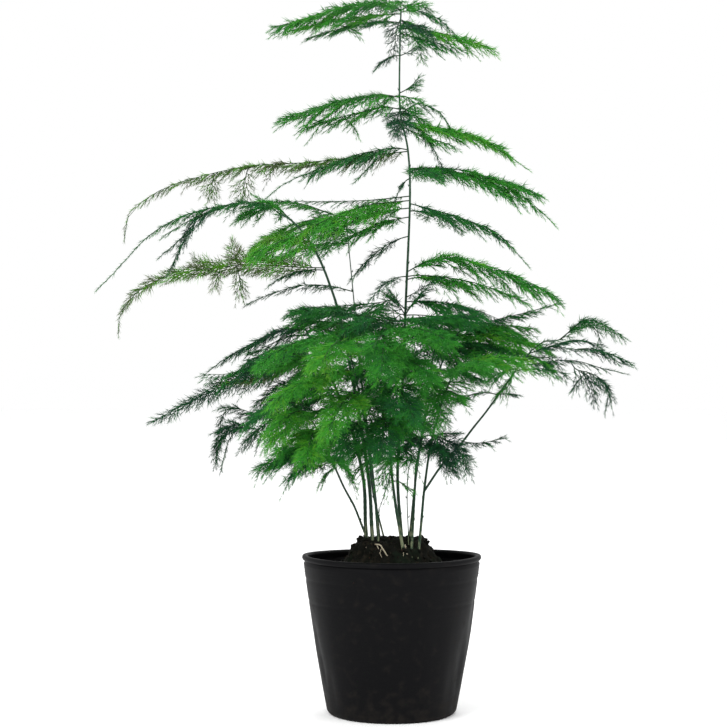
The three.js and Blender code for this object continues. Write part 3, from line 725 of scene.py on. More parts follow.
# A stem is the place of its foot on the root ball, the way it takes above that, its fronds, and its
# girth where it is thinner than the others. One stem has a side branch with its own way and fronds.
STEMS = {
    "tall": {
        "foot": (7, 3),
        "way": [(4.5, 3, 146), (4.4, 4, 169), (7.7, 4, 222), (9.7, 4, 276), (12.4, 3, 343),
                (11, 2, 377), (5.7, 1, 404), (5.7, 1, 450), (6.4, 0, 471)],
        "fronds": [
            Frond(470.5, -77, -12, 457.2, width=29, hang=0.6,
                  via=[(-4, -5, 474.3), (-18, -8, 473.3), (-31, -10, 470.8), (-44, -11, 467),
                       (-58, -12, 462.5), (-70, -12, 459)]),
            Frond(468, -66, -14, 454.5, width=19, hang=0.6, tone=BRIGHT,
                  via=[(-8, -6, 466), (-19, -8, 464.5), (-30, -9, 463), (-43, -11, 460.5)]),
            Frond(470, -26, 24, 473, width=16, tone=DARK, via=[(-3, 10, 475.5), (-14, 18, 476.5)]),
            Frond(470, 26, 10, 471, width=14, via=[(13, 5, 475), (20, 8, 475)]),
            Frond(462, -55, -8, 450.5, width=15, hang=0.6, tone=DARK,
                  via=[(-2.5, -4, 462), (-18, -6, 460.5), (-31, -7, 457.5), (-44, -8, 454)]),
            Frond(457, -23, -8, 454, width=7, root=(-38, -7, 458.5), via=[(-31, -8, 458)]),
            Frond(469, 42, -4, 454, 10, 11, tone=DARK),
            Frond(471, 5, -26, 471, 5, 17),
            Frond(458, 66, -8, 443.5, 2, 23, 1.6, tone=BRIGHT),
            Frond(455, 46, -12, 442, width=15, tone=DARK, via=[(20, -6, 450)]),
            Frond(464, 2, 46, 448, 5, 13, tone=DEEP, hang=0.5, loose=1.15),
            Frond(464, 22, 44, 445, 5, 13, hang=0.5, loose=1.15),
            Frond(458, 25, -36, 446, 8, 13, tone=DEEP, hang=0.8),
            Frond(440, -9, -10, 432, 0, 9, tone=DEEP),
            Frond(440, 15, -4, 444, 2, 5, tone=DEEP),
            Frond(412, -73, -13, 396, width=30, hang=0.85,
                  via=[(-4.5, -4, 413), (-19, -7, 411.5), (-34, -9, 408.5), (-48, -11, 404),
                       (-60, -12, 400)]),
            Frond(404, -56, -7, 391, width=18, hang=0.9,
                  via=[(-4.5, -3, 405), (-18, -5, 402), (-31, -6, 398.5), (-44, -7, 395)]),
            Frond(397, -24, -8, 388.5, width=5, root=(-33, -5, 397), via=[(-28, -7, 394.5)]),
            Frond(400, 39, -6, 391.5, width=9, tone=DARK,
                  via=[(10.5, -3, 403.5), (18.6, -4, 407), (31, -5, 402)]),
            Frond(397, 91, -8, 362.5, width=24, whip=0.2, tone=BRIGHT, hang=0.6, loose=0.85,
                  via=[(13, -2, 394.8), (43, -5, 388.4), (66, -7, 380)]),
            Frond(392, 40, -10, 378.5, width=15, hang=0.8, via=[(20, -5, 386)]),
            Frond(413, 14, -14, 404, width=13, via=[(10, -7, 411)]),
            Frond(413, -6, -14, 404, width=13, via=[(0, -7, 411)]),
            Frond(415, 17, 0, 423.5, 4, 12, tone=DARK),
            Frond(403, 4, 46, 393, 6, 13, tone=DEEP, hang=0.5),
            Frond(405, 26, 46, 388, 6, 14, hang=0.5),
            Frond(395, 4, -44, 381, 4, 13, tone=DEEP, hang=0.6),
            Frond(393, 33, -14, 364, 6, 8, tone=DEEP),
            Frond(377, -84, -10, 343, width=20, whip=0.33, tone=DARK, loose=0.95,
                  via=[(2, -1, 378), (-10, -3, 376), (-26.5, -5, 372), (-41, -6, 366), (-53, -7, 361.5),
                       (-71.5, -9, 353)]),
            Frond(376, -22, -8, 357, width=6, tone=DARK, hang=0.5, root=(-8, -2, 376), via=[(-13, -4, 367)]),
            Frond(376, -183.6, 34, 319.5, whip=0.14, tone=OLIVE, width=14, loose=0.85, hang=1.4,
                  via=[(-55, 8, 369.3), (-72, 10, 368.8), (-97, 16, 367.6), (-120, 22, 363.8),
                       (-142, 26, 358.3), (-154, 28, 354.6), (-167, 30, 347.4), (-178, 32, 339.5),
                       (-182.2, 33, 330.5)]),
            Frond(364.5, 109, -8, 325, 4, 22, 2.6, 0.17),
            Frond(360, 85, -12, 342, width=17, hang=1.2, root=(50, -6, 360), via=[(67, -9, 352)]),
            Frond(356, 98, -14, 345, width=17, hang=0.6, root=(60, -7, 358), via=[(80, -11, 352.5)]),
            Frond(362, 99, 18, 348, width=14, loose=1.3,
                  via=[(33, 10, 363.5), (53.5, 13, 362), (74, 15, 358), (87.5, 17, 354.5)]),
            Frond(364, 80, 40, 354, 6, 15, tone=DARK, hang=0.6, loose=1.2),
            Frond(362, 34, 52, 361, 6, 14, hang=0.5, loose=1.2),
            Frond(362, 32, -42, 352, 6, 12, tone=DARK, hang=0.5),
            Frond(358, 2.5, 0, 341, width=3, whip=0.8, tone=DEEP, via=[(8.5, 2, 355), (4.5, 1, 348)]),
            Frond(346, -68, -4, 342, 0, 7, tone=DARK, via=[(-14, 0, 343), (-38, -2, 342)]),
            Frond(343, -89, -50, 305, tone=BRIGHT, width=33,
                  via=[(-14, -12, 339), (-34, -22, 332), (-54, -33, 322), (-71, -43, 313)]),
            Frond(338, -44, -16, 318, width=19, hang=0.8, via=[(-13, -8, 334), (-28, -12, 327)]),
            Frond(332, -32, -22, 315, width=20, hang=0.8, via=[(-8, -10, 327)]),
            Frond(341, 90, -10, 299, width=20, whip=0.2, tone=DARK,
                  via=[(36, -3, 334), (56, -6, 327), (72, -8, 319)]),
            Frond(336, 50, 54, 326, 6, 14, tone=DARK, hang=0.5, loose=1.2),
            Frond(319, -26, -14, 291, -8, 11, tone=DEEP),
            Frond(292, -14, -20, 276, 0, 10, tone=DEEP),
            Frond(295, 110, -12, 277.5, width=28, hang=1.2,
                  via=[(24, -2, 302), (39, -4, 304), (59, -7, 300), (82, -10, 292)]),
            Frond(292, 56, -4, 280, 8, 15, tone=BRIGHT),
            Frond(290, 89, -18, 273.5, 24, 16, 1.6),
            Frond(278, 28, -14, 289, 8, 9, tone=DEEP),
            Frond(275, 73, 6, 263, 6, 8, tone=DEEP),
            Frond(270, 0, 6, 281, 6, 8, tone=DEEP),
            Frond(266, -44, -7, 270, width=19, tone=DARK, hang=1.4,
                  via=[(2, -2, 275.8), (-6, -4, 274.5), (-15, -6, 273.5), (-28, -7, 272.5)]),
            Frond(266, 62, -8, 265, width=22, tone=DARK, hang=1.4, loose=0.9,
                  via=[(15, -1, 274.5), (21, -3, 274.5), (35, -6, 274), (47, -8, 271)]),
            Frond(254, 32, 26, 238, 2, 24, tone=DEEP, hang=1.2),
            Frond(266, 44, -3, 261, 2, 22, tone=DARK, hang=1.3, roll=30),
            Frond(262, -22, -2, 262, 2, 18, tone=DARK, hang=1.2, roll=-30),
            Frond(262, 52, 30, 262, 4, 22, tone=DARK),
            Frond(260, -30, 34, 258, 4, 24, tone=DARK),
            Frond(365, -101, 18, 347, width=14, tone=OLIVE, roll=60, root=(-96, 16, 367)),
            Frond(359, -123, 24, 350, width=10, tone=OLIVE, roll=60, root=(-120, 22, 363)),
        ],
    },
    "left_arching": {
        "foot": (-12.8, -6),
        "girth": 1.2,
        "way": [(-15.2, -6, 155), (-22, -5, 200), (-33.8, -3, 261), (-42, -2, 288), (-50, -1, 307),
                (-57.5, 0, 319), (-64, 0, 326.5), (-70, 0, 331.5), (-75.5, 0, 333.5)],
        "fronds": [
            Frond(333, -195, -12, 283, whip=0.38, tone=DARK, loose=0.8,
                  via=[(-84, -2, 340), (-98, -4, 341.3), (-107.7, -5, 339.7), (-126.6, -7, 335.8),
                       (-145.5, -8, 328.9), (-161.9, -9, 318.3), (-173.6, -10, 306), (-185, -11, 293.2)]),
            Frond(336, -150, -14, 319, width=4, tone=DARK, root=(-109, -5, 339), via=[(-130, -9, 331)]),
            Frond(338, -147.5, -22, 293, width=11, tone=DEEP, whip=0.15, loose=0.75, root=(-113, -6, 339),
                  via=[(-127.5, -10, 331), (-136, -14, 318.5), (-143, -18, 303)]),
            Frond(323, -153, -18, 304, width=5, tone=DEEP, whip=0.3, root=(-133, -13, 323),
                  via=[(-143, -16, 313)]),
            Frond(330, -102, 14, 334, width=20, loose=0.8, via=[(-80, 8, 340)]),
            Frond(325, -34, 6, 331, 10, 16),
            Frond(297.5, -180, -22, 253, width=16, whip=0.12, tone=OLIVE, roll=40, hang=0.2, loose=0.8,
                  via=[(-68, -5, 298), (-93, -10, 299.4), (-111, -12, 297.8), (-128.4, -14, 295.6),
                       (-149.5, -16, 291), (-160, -18, 286), (-168.5, -19, 280.4), (-179, -21, 266)]),
            Frond(298, -106, -9, 313, 0, 11, tone=OLIVE, roll=80, root=(-101, -11, 299), loose=0.8),
            Frond(298, -100, -9, 280, 0, 10, tone=OLIVE, roll=80, root=(-104, -11, 298.5), loose=0.8),
            Frond(298, -130, -12, 303, 0, 10, tone=OLIVE, roll=80, root=(-112, -12, 297.7)),
            Frond(298, -117, -12, 286, 0, 7, tone=OLIVE, roll=80, root=(-112, -12, 297.7)),
            Frond(308, -92, -36, 303, width=22, hang=0.8, tone=LIME, via=[(-62, -18, 315), (-77, -28, 316)]),
            Frond(296, -80, -14, 286, 2, 8, 2.4, tone=DEEP),
        ],
    },
    "back_arching": {
        "foot": (-5, 8),
        "way": [(-11, 12, 139), (-13.5, 15, 155), (-19, 24, 209), (-26, 32, 283), (-31, 32, 334)],
        "girth": 0.6,
        "fronds": [
            Frond(334, -101, 26, 341, width=15,
                  via=[(-43, 32, 337), (-56, 32, 342), (-69, 31, 344.5), (-83, 28, 345)]),
            Frond(333, -96, 44, 314, 10, 28, tone=BRIGHT),
            Frond(326, -46, 92, 318, 8, 22, loose=1.15),
            Frond(316, -86, 70, 306, 8, 22, loose=1.15),
            Frond(283, -97, 28, 275, width=9, tone=DEEP, hang=0.6,
                  via=[(-43, 31, 287), (-63, 31, 287), (-83, 29, 281)]),
            Frond(268, -66, 14, 270, width=24, hang=1.6, tone=DARK, via=[(-38, 26, 272), (-52, 20, 272)]),
            Frond(258, -70, 2, 259, width=24, hang=1.4, via=[(-36, 14, 261), (-52, 8, 262)]),
            Frond(232, -12, -2, 214, 2, 24, tone=DARK),
        ],
    },
    "low_left": {
        "foot": (-16.2, -4),
        "way": [(-24.8, -7, 138), (-29, -10, 146), (-32.6, -12, 153), (-37.8, -16, 165), (-49, -28, 190),
                (-60, -36, 208)],
        "girth": 0.8,
        "fronds": [
            Frond(207, -96, -46, 192, 12, 20, tone=DARK),
            Frond(202, -76, -84, 184, 10, 24, tone=BRIGHT),
            Frond(190, -54, -94, 174, 8, 24, tone=BRIGHT),
            Frond(180, -82, -34, 166, 4, 20),
            Frond(172, -34, -72, 172, 4, 18),
            Frond(176, -87, -36, 164, width=19, tone=DARK, hang=1.1, loose=0.8,
                  via=[(-52, -34, 177), (-62, -35, 174.5), (-75, -36, 171.5), (-83, -36, 168)]),
            Frond(172, -59, -34, 166, width=14, tone=DEEP, hang=0.9, via=[(-48, -30, 171)]),
            Frond(188, -74, -46, 176, 2, 20),
            Frond(184, -68, 0, 170, 0, 20, tone=DEEP),
            Frond(168, -50, -26, 165, 0, 14, tone=DARK),
            Frond(168, -27, -14, 160, 0, 13, hang=1.8, loose=1.1),
            Frond(164, -44, -18, 160, 0, 11, hang=1.6, loose=1.3),
            Frond(180, -68, -36, 160, 0, 18, tone=DARK, hang=1.1, loose=0.85, via=[(-56, -34, 170)]),
        ],
    },
    "left": {
        "foot": (-16.9, 3),
        "girth": 1.25,
        "way": [(-19.4, 4, 159), (-31, 4, 202), (-49, 3, 239), (-58, 2, 257)],
        "fronds": [
            Frond(256, -123, -5, 227.5, width=14, tone=DEEP, hang=1.0, whip=0.2, loose=0.7,
                  via=[(-71, 0, 256.7), (-80, -1, 253.7), (-88, -2, 250), (-98, -3, 244.4),
                       (-110, -4, 237.7)]),
            Frond(252, -94, -3, 240, width=9, tone=DEEP, hang=1.6, via=[(-68, 0, 252), (-82, -2, 246)]),
            Frond(246, -124, -14, 226.5, width=15, tone=DARK, hang=1.2, loose=0.9,
                  via=[(-62, -2, 246), (-85, -9, 236), (-107, -12, 227)]),
            Frond(240, -112, -10, 221, width=14, tone=OLIVE, hang=0.8,
                  via=[(-64, -4, 236), (-82, -8, 227), (-98, -10, 222)]),
            Frond(244, -104, -20, 222, width=15, tone=DEEP, hang=1.3, via=[(-64, -8, 240), (-86, -16, 230)]),
            Frond(240, -160, -14, 194, -12, 17, 1.5, 0.05, DEEP, roll=50, hang=0.5, loose=0.85),
            Frond(236, -90, 8, 208, width=22, tone=DEEP, hang=1.3, roll=40,
                  via=[(-62, 8, 224), (-74, 8, 219)]),
            Frond(222, -84, -2, 205, width=14, tone=DARK, hang=1.3, via=[(-60, 2, 215)]),
            Frond(208, -119, 20, 176, width=13, tone=DEEP, hang=1.1, roll=25, loose=0.8,
                  via=[(-58, 14, 199), (-79, 20, 198.5), (-95, 20, 200), (-104, 20, 203), (-111, 20, 203.5),
                       (-114.5, 20, 198), (-117, 20, 188)]),
            Frond(200, -119, 20, 169.5, width=17, tone=DEEP, hang=0.9, roll=25, loose=0.8,
                  root=(-79, 20, 198.5),
                  via=[(-90, 20, 189), (-100, 20, 191), (-108, 20, 191), (-114.5, 20, 184.5),
                       (-118, 20, 177)]),
            Frond(190, -115.5, 20, 163.5, width=5, tone=DEEP, root=(-104, 20, 191),
                  via=[(-110, 20, 182), (-112.5, 20, 175)]),
            Frond(186, -97, 16, 178, width=4, tone=DEEP, root=(-86, 14, 190),
                  via=[(-91, 15, 186), (-94, 16, 181)]),
            Frond(246, -102, 52, 232, 8, 28, tone=DARK),
            Frond(216, -96, 36, 196, 2, 24, tone=DARK),
            Frond(212, -76, 22, 198, 2, 24, tone=DARK),
            Frond(204, -84, 8, 180, 0, 22),
        ],
    },
    "front_left": {
        "foot": (-9, -13),
        "girth": 0.75,
        "way": [(-12.2, -20, 155), (-18, -30, 195), (-25, -38, 229), (-31, -43, 252)],
        "fronds": [
            Frond(251, -84, -70, 234, 8, 26),
            Frond(247, -44, -106, 234, 10, 30, tone=BRIGHT),
            Frond(238, -86, -34, 230, 8, 26),
            Frond(228, -74, -96, 210, 6, 27, tone=BRIGHT),
            Frond(214, -40, -102, 192, 6, 28, tone=BRIGHT),
            Frond(196, -32, -72, 178, 2, 20, tone=DARK),
        ],
    },
    "middle": {
        "foot": (6.4, -21),
        "way": [(2.7, -19, 138), (0, -18, 159), (-1, -18, 176), (-2, -20, 222), (-4, -23, 262)],
        "fronds": [
            Frond(261, -66, -36, 268, 18, 28, tone=DARK),
            Frond(260, 58, -30, 264, 14, 26, tone=DARK),
            Frond(256, 34, -82, 248, 8, 30),
            Frond(248, -8, -100, 228, 6, 30),
            Frond(238, 24, -86, 224, 6, 28),
            Frond(218, 12, -98, 200, 4, 26, tone=DARK),
            Frond(198, -8, -80, 178, 2, 22, tone=DARK),
            Frond(184, -26, -50, 172, 2, 17, hang=1.5),
            Frond(174, -24, -26, 164, 0, 13, hang=1.8, loose=1.1),
            Frond(172, -6, -26, 157, 0, 13, hang=1.8, loose=1.1),
            Frond(168, -8.8, -22, 136, width=4, tone=DEEP, loose=1.5, via=[(-2, -21, 157)]),
            Frond(156, 11.5, -22, 151.5, 0, 7, hang=1.3, via=[(5, -20, 155.5)]),
            Frond(180, 14, -50, 172, 2, 16, tone=DARK, hang=1.4),
        ],
    },
    "right": {
        "foot": (13.2, -18),
        "girth": 0.9,
        "way": [(15.4, -6, 149), (17.3, -2, 169), (25.8, 4, 209), (38, 8, 243), (49, 12, 259)],
        "fronds": [
            Frond(258, 112, 14, 274, width=13, tone=DARK, hang=0.7, via=[(68, 11, 262.5), (93, 12, 268.5)]),
            Frond(256, 95, 6, 257, 11, 20),
            Frond(252, 106, 4, 243, 10, 24, tone=BRIGHT),
            Frond(243, 68, 28, 226, 2, 24, tone=DARK),
            Frond(214, 33, -6, 203, 2, 18, tone=DARK),
            Frond(247, 98, 26, 238, 6, 24, tone=DARK),
            Frond(238, 84, -10, 230, 6, 18),
            Frond(228, 62, 38, 222, 6, 20, tone=DARK),
            Frond(255, 80, 42, 258, 8, 22),
        ],
    },
    "front_right": {
        "foot": (18.2, -18),
        "girth": 0.9,
        "way": [(21.8, -12, 152), (26, -19, 182), (33, -29, 209), (42, -37, 234)],
        "fronds": [
            Frond(233, 84, -60, 236, 14, 26, tone=BRIGHT),
            Frond(228, 54, -94, 235, 10, 22),
            Frond(215, 41, -58, 213, 5, 17),
            Frond(216, 29, -62, 198, 4, 18),
            Frond(204, 25, -50, 191, 2, 16, tone=DARK),
            Frond(210, 46, -36, 211, 2, 18, tone=DARK),
            Frond(184, 47.5, -52, 166.5, width=17, hang=1.4, tone=DEEP, roll=35, loose=0.7,
                  via=[(28, -30, 186.5), (37, -40, 182), (44, -48, 174)]),
            Frond(182, 38, -48, 165, width=15, hang=1.3, tone=DEEP, loose=0.75, via=[(29, -34, 179)]),
            Frond(186, 10, -36, 182, 2, 14, tone=DEEP, hang=1.3, loose=0.8),
        ],
        "branch": {
            "way": [(21.6, -12.4, 149), (33, -14, 166), (45.5, -18, 180.5), (54.3, -19.5, 192),
                    (61.5, -20, 201), (69.5, -20, 212), (81, -19, 228), (93, -16, 243)],
            "fronds": [
                Frond(242, 125, -10, 260.5, width=6, tone=DARK, hang=0.6,
                      via=[(101, -12, 248), (112, -8, 249.5), (118.5, -9, 255)]),
                Frond(250, 156, -13, 249.5, tone=DARK, hang=1.2, loose=0.7, roll=25, whip=0.1,
                      root=(112, -8, 249.5),
                      via=[(118.5, -9, 255), (125, -10, 261), (133, -11, 262), (145, -12, 257)]),
                Frond(258, 136, -14, 245, width=5, tone=DEEP, root=(130, -11, 261), via=[(137, -13, 253)]),
                Frond(240, 155, -34, 231.5, width=7, whip=0.15, tone=DEEP,
                      via=[(104, -16, 244.5), (118, -22, 243), (131, -26, 241.5), (144, -30, 236)]),
                Frond(240, 155, -32, 234.5, width=10, tone=DEEP, loose=0.7, root=(122, -23, 243),
                      via=[(131, -26, 243), (143, -29, 239.5)]),
                Frond(240, 137, -20, 246, width=11, tone=DEEP, hang=0.6,
                      via=[(108, -16, 246), (122, -18, 249)]),
                Frond(232, 153, -20, 227, width=7, whip=0.2, tone=DEEP, loose=0.8,
                      via=[(107, -14, 235), (123, -16, 235), (138, -18, 230.5)]),
                Frond(229, 141.5, -20, 208, width=15, tone=DEEP, hang=1.3, roll=20,
                      root=(118, -16, 235),
                      via=[(122, -16, 229.5), (130, -16, 227.5), (139, -18, 222.5), (143, -19, 215)]),
                Frond(222, 134, -20, 210, width=11, tone=DEEP, roll=30,
                      root=(125, -16, 228.5), via=[(132, -18, 219)]),
                Frond(222, 120, -19, 217.5, width=8, tone=DEEP, root=(131, -16, 227.3)),
                Frond(229, 115, -16, 227, tone=DARK, hang=1.3, via=[(98, -18, 230)]),
                Frond(236, 114, -20, 225, width=7, tone=DEEP, roll=40, via=[(104, -17, 237)]),
                Frond(182, 72, -24, 185, -6, 6, tone=DEEP, loose=0.6),
                Frond(213, 79, -24, 213.5, 2, 6, tone=DEEP),
                Frond(213, 43, -22, 210, 0, 7, tone=DEEP, via=[(60, -22, 214.5), (52, -22, 213)]),
                Frond(229, 70, -23, 214.5, loose=0.7, via=[(77, -22, 222)]),
                Frond(230, 64, -26, 223, 0, 12, hang=1.2),
                Frond(238, 105, -12, 230.5, 2, 17, hang=0.9),
            ],
        },
    },
    "low_right": {
        "foot": (11, -16),
        "way": [(10, -19, 145), (11, -25, 165), (16, -31, 182)],
        "girth": 0.4,
        "fronds": [
            Frond(181, 40, -46, 172, 4, 14, tone=DEEP, hang=1.3),
            Frond(172, -8, -60, 172, 4, 17),
        ],
    },
    "back_left": {
        "foot": (-8, 15),
        "girth": 0.75,
        "way": [(-12, 24, 155), (-18, 34, 205), (-23, 42, 245), (-26, 46, 268)],
        "fronds": [
            Frond(267, -68, 72, 263, 10, 26, loose=1.15),
            Frond(264, -6, 70, 272, 12, 24, tone=DARK),
            Frond(262, -30, 112, 250, 10, 28, loose=1.1),
            Frond(252, -82, 106, 230, 8, 28, loose=1.1),
            Frond(246, 16, 98, 240, 6, 28, loose=1.25),
            Frond(222, -4, 26, 196, 2, 27, tone=DARK, loose=1.1),
            Frond(228, -84, 78, 206, 4, 26, loose=1.3),
        ],
    },
    "back_right": {
        "foot": (12.5, 14),
        "girth": 0.8,
        "way": [(17, 24, 155), (24, 34, 202), (30, 42, 240), (36, 46, 262)],
        "fronds": [
            Frond(261, 96, 84, 252, 12, 26, loose=1.15),
            Frond(260, 60, 42, 270, 14, 24, tone=DARK),
            Frond(256, 50, 114, 246, 10, 28, loose=1.1),
            Frond(246, 94, 62, 238, 6, 22, loose=1.15),
            Frond(244, 84, 98, 234, 6, 24, loose=1.3),
            Frond(230, 26, 100, 208, 4, 26, loose=1.25),
            Frond(212, 8, 22, 188, 2, 26, tone=DARK, loose=1.1),
            Frond(240, 50, 18, 228, 2, 22, tone=DARK),
            Frond(236, 6, 8, 226, 2, 24, tone=DARK),
        ],
    },
}


def stem_line(stem):
    """The smooth line of a stem: straight in its hole, and then along its way."""
    first = np.array(stem["way"][0], float)
    foot = np.array([*stem["foot"], BALL_TOP], float)
    straight = [foot + (first - foot) * (z - BALL_TOP) / (first[2] - BALL_TOP) for z in (BURIED, 110, 126)]
    return curve_through([*straight, *stem["way"]], STEM_POINTS)


def point_at_height(line, height):
    """The point of a rising line at a height, or its end if it stops lower."""
    above = int(np.argmax(line[:, 2] > height))
    if above < 1:
        return line[-1]
    low, high = line[above - 1], line[above]
    return low + (high - low) * (height - low[2]) / (high[2] - low[2])


def scale_leaves(line, rng):
    """Small dry pointed scales that stand up along the stem, one after another round it."""
    bpy.ops.mesh.primitive_cone_add(vertices=4, radius1=SCALE_RADIUS * MM, depth=SCALE_LENGTH * MM)
    bpy.context.object.data.transform(Matrix.Translation((0, 0, SCALE_LENGTH / 2 * MM)))
    shape = shape_of(bpy.context.object)
    travelled = distances(line)
    at = np.arange(FIRST_SCALE, travelled[-1] - 4, SCALE_SPACING)
    places = read_line(line, travelled, at)
    turns = []
    for k, place in enumerate(places):
        ahead = read_line(line, travelled, at[k] + 1) - place
        aside = np.array([math.cos(GOLDEN_ANGLE * k), math.sin(GOLDEN_ANGLE * k), 0])
        lean = Vector(aside) * rng.uniform(0.3, 0.5)
        turns.append(np.array((Vector(ahead) + lean).to_track_quat("Z", "Y").to_matrix()))
        place += 0.7 * aside
    return copies(shape, places, np.array(turns), np.ones((len(places), 3)))


def stem_bark():
    paint = Paint("wiry green stem", {"Roughness": 0.6, "Specular IOR Level": 0.2})
    height = paint.height()
    streaks = paint.grain(paint.place((1, 1, 0.2)), scale=900)
    # The stem's green is darker low down and fades to a lighter green between 0.2 m and 0.45 m up.
    higher_up = paint.fade(height + 0.05 * streaks, 0.2, 0.45)
    green = paint.mix(higher_up, STEM_GREEN, STEM_UPPER_GREEN)
    sheathed = (1 - paint.fade(height, 0.116, 0.135)) * paint.fade(streaks, 0.4, 0.6)
    colour = paint.mix(sheathed * 0.75, green, STEM_PALE)
    return paint.finish({"Base Color": colour}, bump=streaks, bump_depth=0.00015)


def stem_bar(line, thick, thin):
    """A tapered stem that is slightly swollen at its joints."""
    swell = 1 + JOINT_SWELL * np.sin(np.arange(len(line)) * 1.7) ** 8
    radii = np.linspace(thick, thin, len(line)) * swell
    return bars(line[None], radii[None], STEM_SIDES, reference=(0, 1, 0))


bark = stem_bark()
stem_rng = np.random.default_rng(23)
for name, stem in STEMS.items():
    stem["line"] = stem_line(stem)
    girth = stem.get("girth", 1)
    parts = [stem_bar(stem["line"], girth * STEM_RADIUS, girth * STEM_TIP_RADIUS)]
    parts.append(scale_leaves(stem["line"], stem_rng))
    if "branch" in stem:
        stem["branch"]["line"] = curve_through(stem["branch"]["way"], BRANCH_POINTS)
        parts.append(stem_bar(stem["branch"]["line"], BRANCH_RADIUS, STEM_TIP_RADIUS))
    woody = piece("stem_" + name, *together(parts), bark, smooth=True)
    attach(woody, "root")
    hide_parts("leafy_stem_" + name)

# The fronds
# Flat arching sprays. Side branches stand left and right of a rib by turns, lean forward and hang a
# little. Each carries short twigs, and each twig a fan of green needles 2 to 7 mm long.
UP = np.array([0.0, 0.0, 1.0])
RIB_SAMPLES = 48
RIB_RINGS = 16
RIB_SIDES = 5
RIB_RADIUS = 0.42
RIB_THINNING = 0.6
BARE_LENGTH = 3
FEWEST_BRANCHES = 6
SIDE_BRANCH_SPACING = 3.3
SIDE_BRANCH_SAMPLES = 4
SIDE_BRANCH_SIDES = 3
SIDE_BRANCH_RADIUS = 0.2
SHORTEST_BRANCH = 4
BRANCH_TAPER = 0.35
# The angle of the side branches to the rib, at the foot and at the tip of a frond.
FOOT_ANGLE = math.radians(46)
TIP_ANGLE = math.radians(20)
# A side branch slants and bends, so it is this much longer than its reach. By its tip it has turned
# forward by this share of its angle.
LONGER = 1.2
SWEEP = 0.35
# The first and the last side branch as a share of the longest, and where on the frond that one stands.
FIRST_BRANCH = 0.55
LAST_BRANCH = 0.3
LONGEST_AT = 1 / 5
NARROWING = 1.4
# How far a side branch may stand out beyond the tip of its frond.
OVERSHOOT = 4
# How a side branch slopes down and sags, and the share of them that hang much lower than the rest.
ROOF = 0.2
SAG = 0.2
HANGING = 0.12
LOW_HANG = 0.9
NEEDLE_LENGTH = 5.0
NEEDLE_RADIUS = 0.31
SPIKE_SIDES = 3
TWIG_SHAPES = 4
TWIG_LENGTH = 7.0
TWIG_SPACING = 1.9
TWIG_ANGLE = math.radians(34)
TWIG_ROLL = 0.5
# The length of a twig at a branch's tip, how much that grows with each millimetre back from there, and
# the smallest and the largest copy of a twig.
TIP_TWIG = 2.6
TWIG_GROWTH = 0.5
SMALLEST_TWIG = 0.5
LARGEST_TWIG = 1.1
# The whip is the thin end of the rib, where twigs stand on the rib itself.
SHORTEST_WHIP = 0.03
WHIP_SAMPLES = 8
WHIP_SPACING = 2.2
WHIP_ANGLE = math.radians(16)
WHIP_SIZE = 0.6
# The bush is filled with small sprays between these heights and sides.
BUSH_FOOT = 170
BUSH_TOP = 270
BUSH_SIDES = (-72, 92)
SMALL_SPRAY_STEP = 16
SMALL_SPRAY_REACH = (36, 60)
SMALL_SPRAY_WIDTH = 25
SMALL_SPRAY_LOOSENESS = 1.48
# The height of the bush's lower edge, from left to right.
UNDERSIDE = [(-90, 186), (-60, 164), (10, 166), (30, 190), (50, 212), (75, 224)]
# The tall stem's foliage is made in three pieces, by the height of the fronds on the stem.
WHOLE = (("", 0, 999),)
SPLITS = {"tall": (("top", 425, 999), ("upper", 355, 425), ("lower", 0, 355))}
# The map of the foliage has a lane for ribs and branches, and one for each needle by its green.
WOODY_LANE = 0.03
LANE_WIDTH = 0.004
# A needle's tip against the rest of it.
PALE_TIP = {"Hue": 0.495, "Saturation": 0.9, "Value": 1.75}
# The scale of greens. Its places under 0.1 are for the dark ribs and branches.
NEEDLE_COLOURS = [
    (0.00, (0.012, 0.036, 0.014, 1)),
    (0.06, (0.014, 0.046, 0.016, 1)),
    (0.10, (0.013, 0.036, 0.028, 1)),
    (0.28, (0.012, 0.090, 0.026, 1)),
    (0.46, (0.019, 0.160, 0.018, 1)),
    (0.62, (0.037, 0.245, 0.018, 1)),
    (0.76, (0.090, 0.280, 0.016, 1)),
    (0.85, (0.050, 0.110, 0.026, 1)),
    (0.97, (0.090, 0.110, 0.045, 1)),
]


def twig_shape(rng):
    """One twig that lies along +X with its needles, in spikes of three base corners and a point."""
    # Where each spike starts on the twig, its turn aside and its turn up, its length and its thickness.
    spikes = [(0, 0, 0, TWIG_LENGTH * 0.75, 1.0)]
    for at in (0.08, 0.36, 0.64):
        for aside in (-1, 1):
            yaw = aside * math.radians(rng.uniform(16, 38))
            spikes.append((at * TWIG_LENGTH, yaw, rng.normal(0, 0.25), NEEDLE_LENGTH, 0.85))
    spikes.append((0.5 * TWIG_LENGTH, rng.normal(0, 0.2), 0.6, 0.9 * NEEDLE_LENGTH, 0.85))
    bpy.ops.object.select_all(action="DESELECT")
    made = []
    for reach, yaw, pitch, length, thick in spikes:
        length *= rng.uniform(0.85, 1.15)
        radius = thick * NEEDLE_RADIUS * MM
        bpy.ops.mesh.primitive_cone_add(vertices=SPIKE_SIDES, radius1=radius, depth=length * MM)
        spike = bpy.context.object
        spike.data.transform(Matrix.Translation((0, 0, length * MM / 2)))
        spike.data.transform(Matrix.Rotation(math.radians(90) - pitch, 4, "Y"))
        spike.data.transform(Matrix.Rotation(yaw, 4, "Z"))
        spike.data.transform(Matrix.Translation((reach * MM, 0, 0)))
        made.append(spike)
    for spike in made:
        spike.select_set(True)
    bpy.context.view_layer.objects.active = made[0]
    bpy.ops.object.join()
    return shape_of(bpy.context.object)


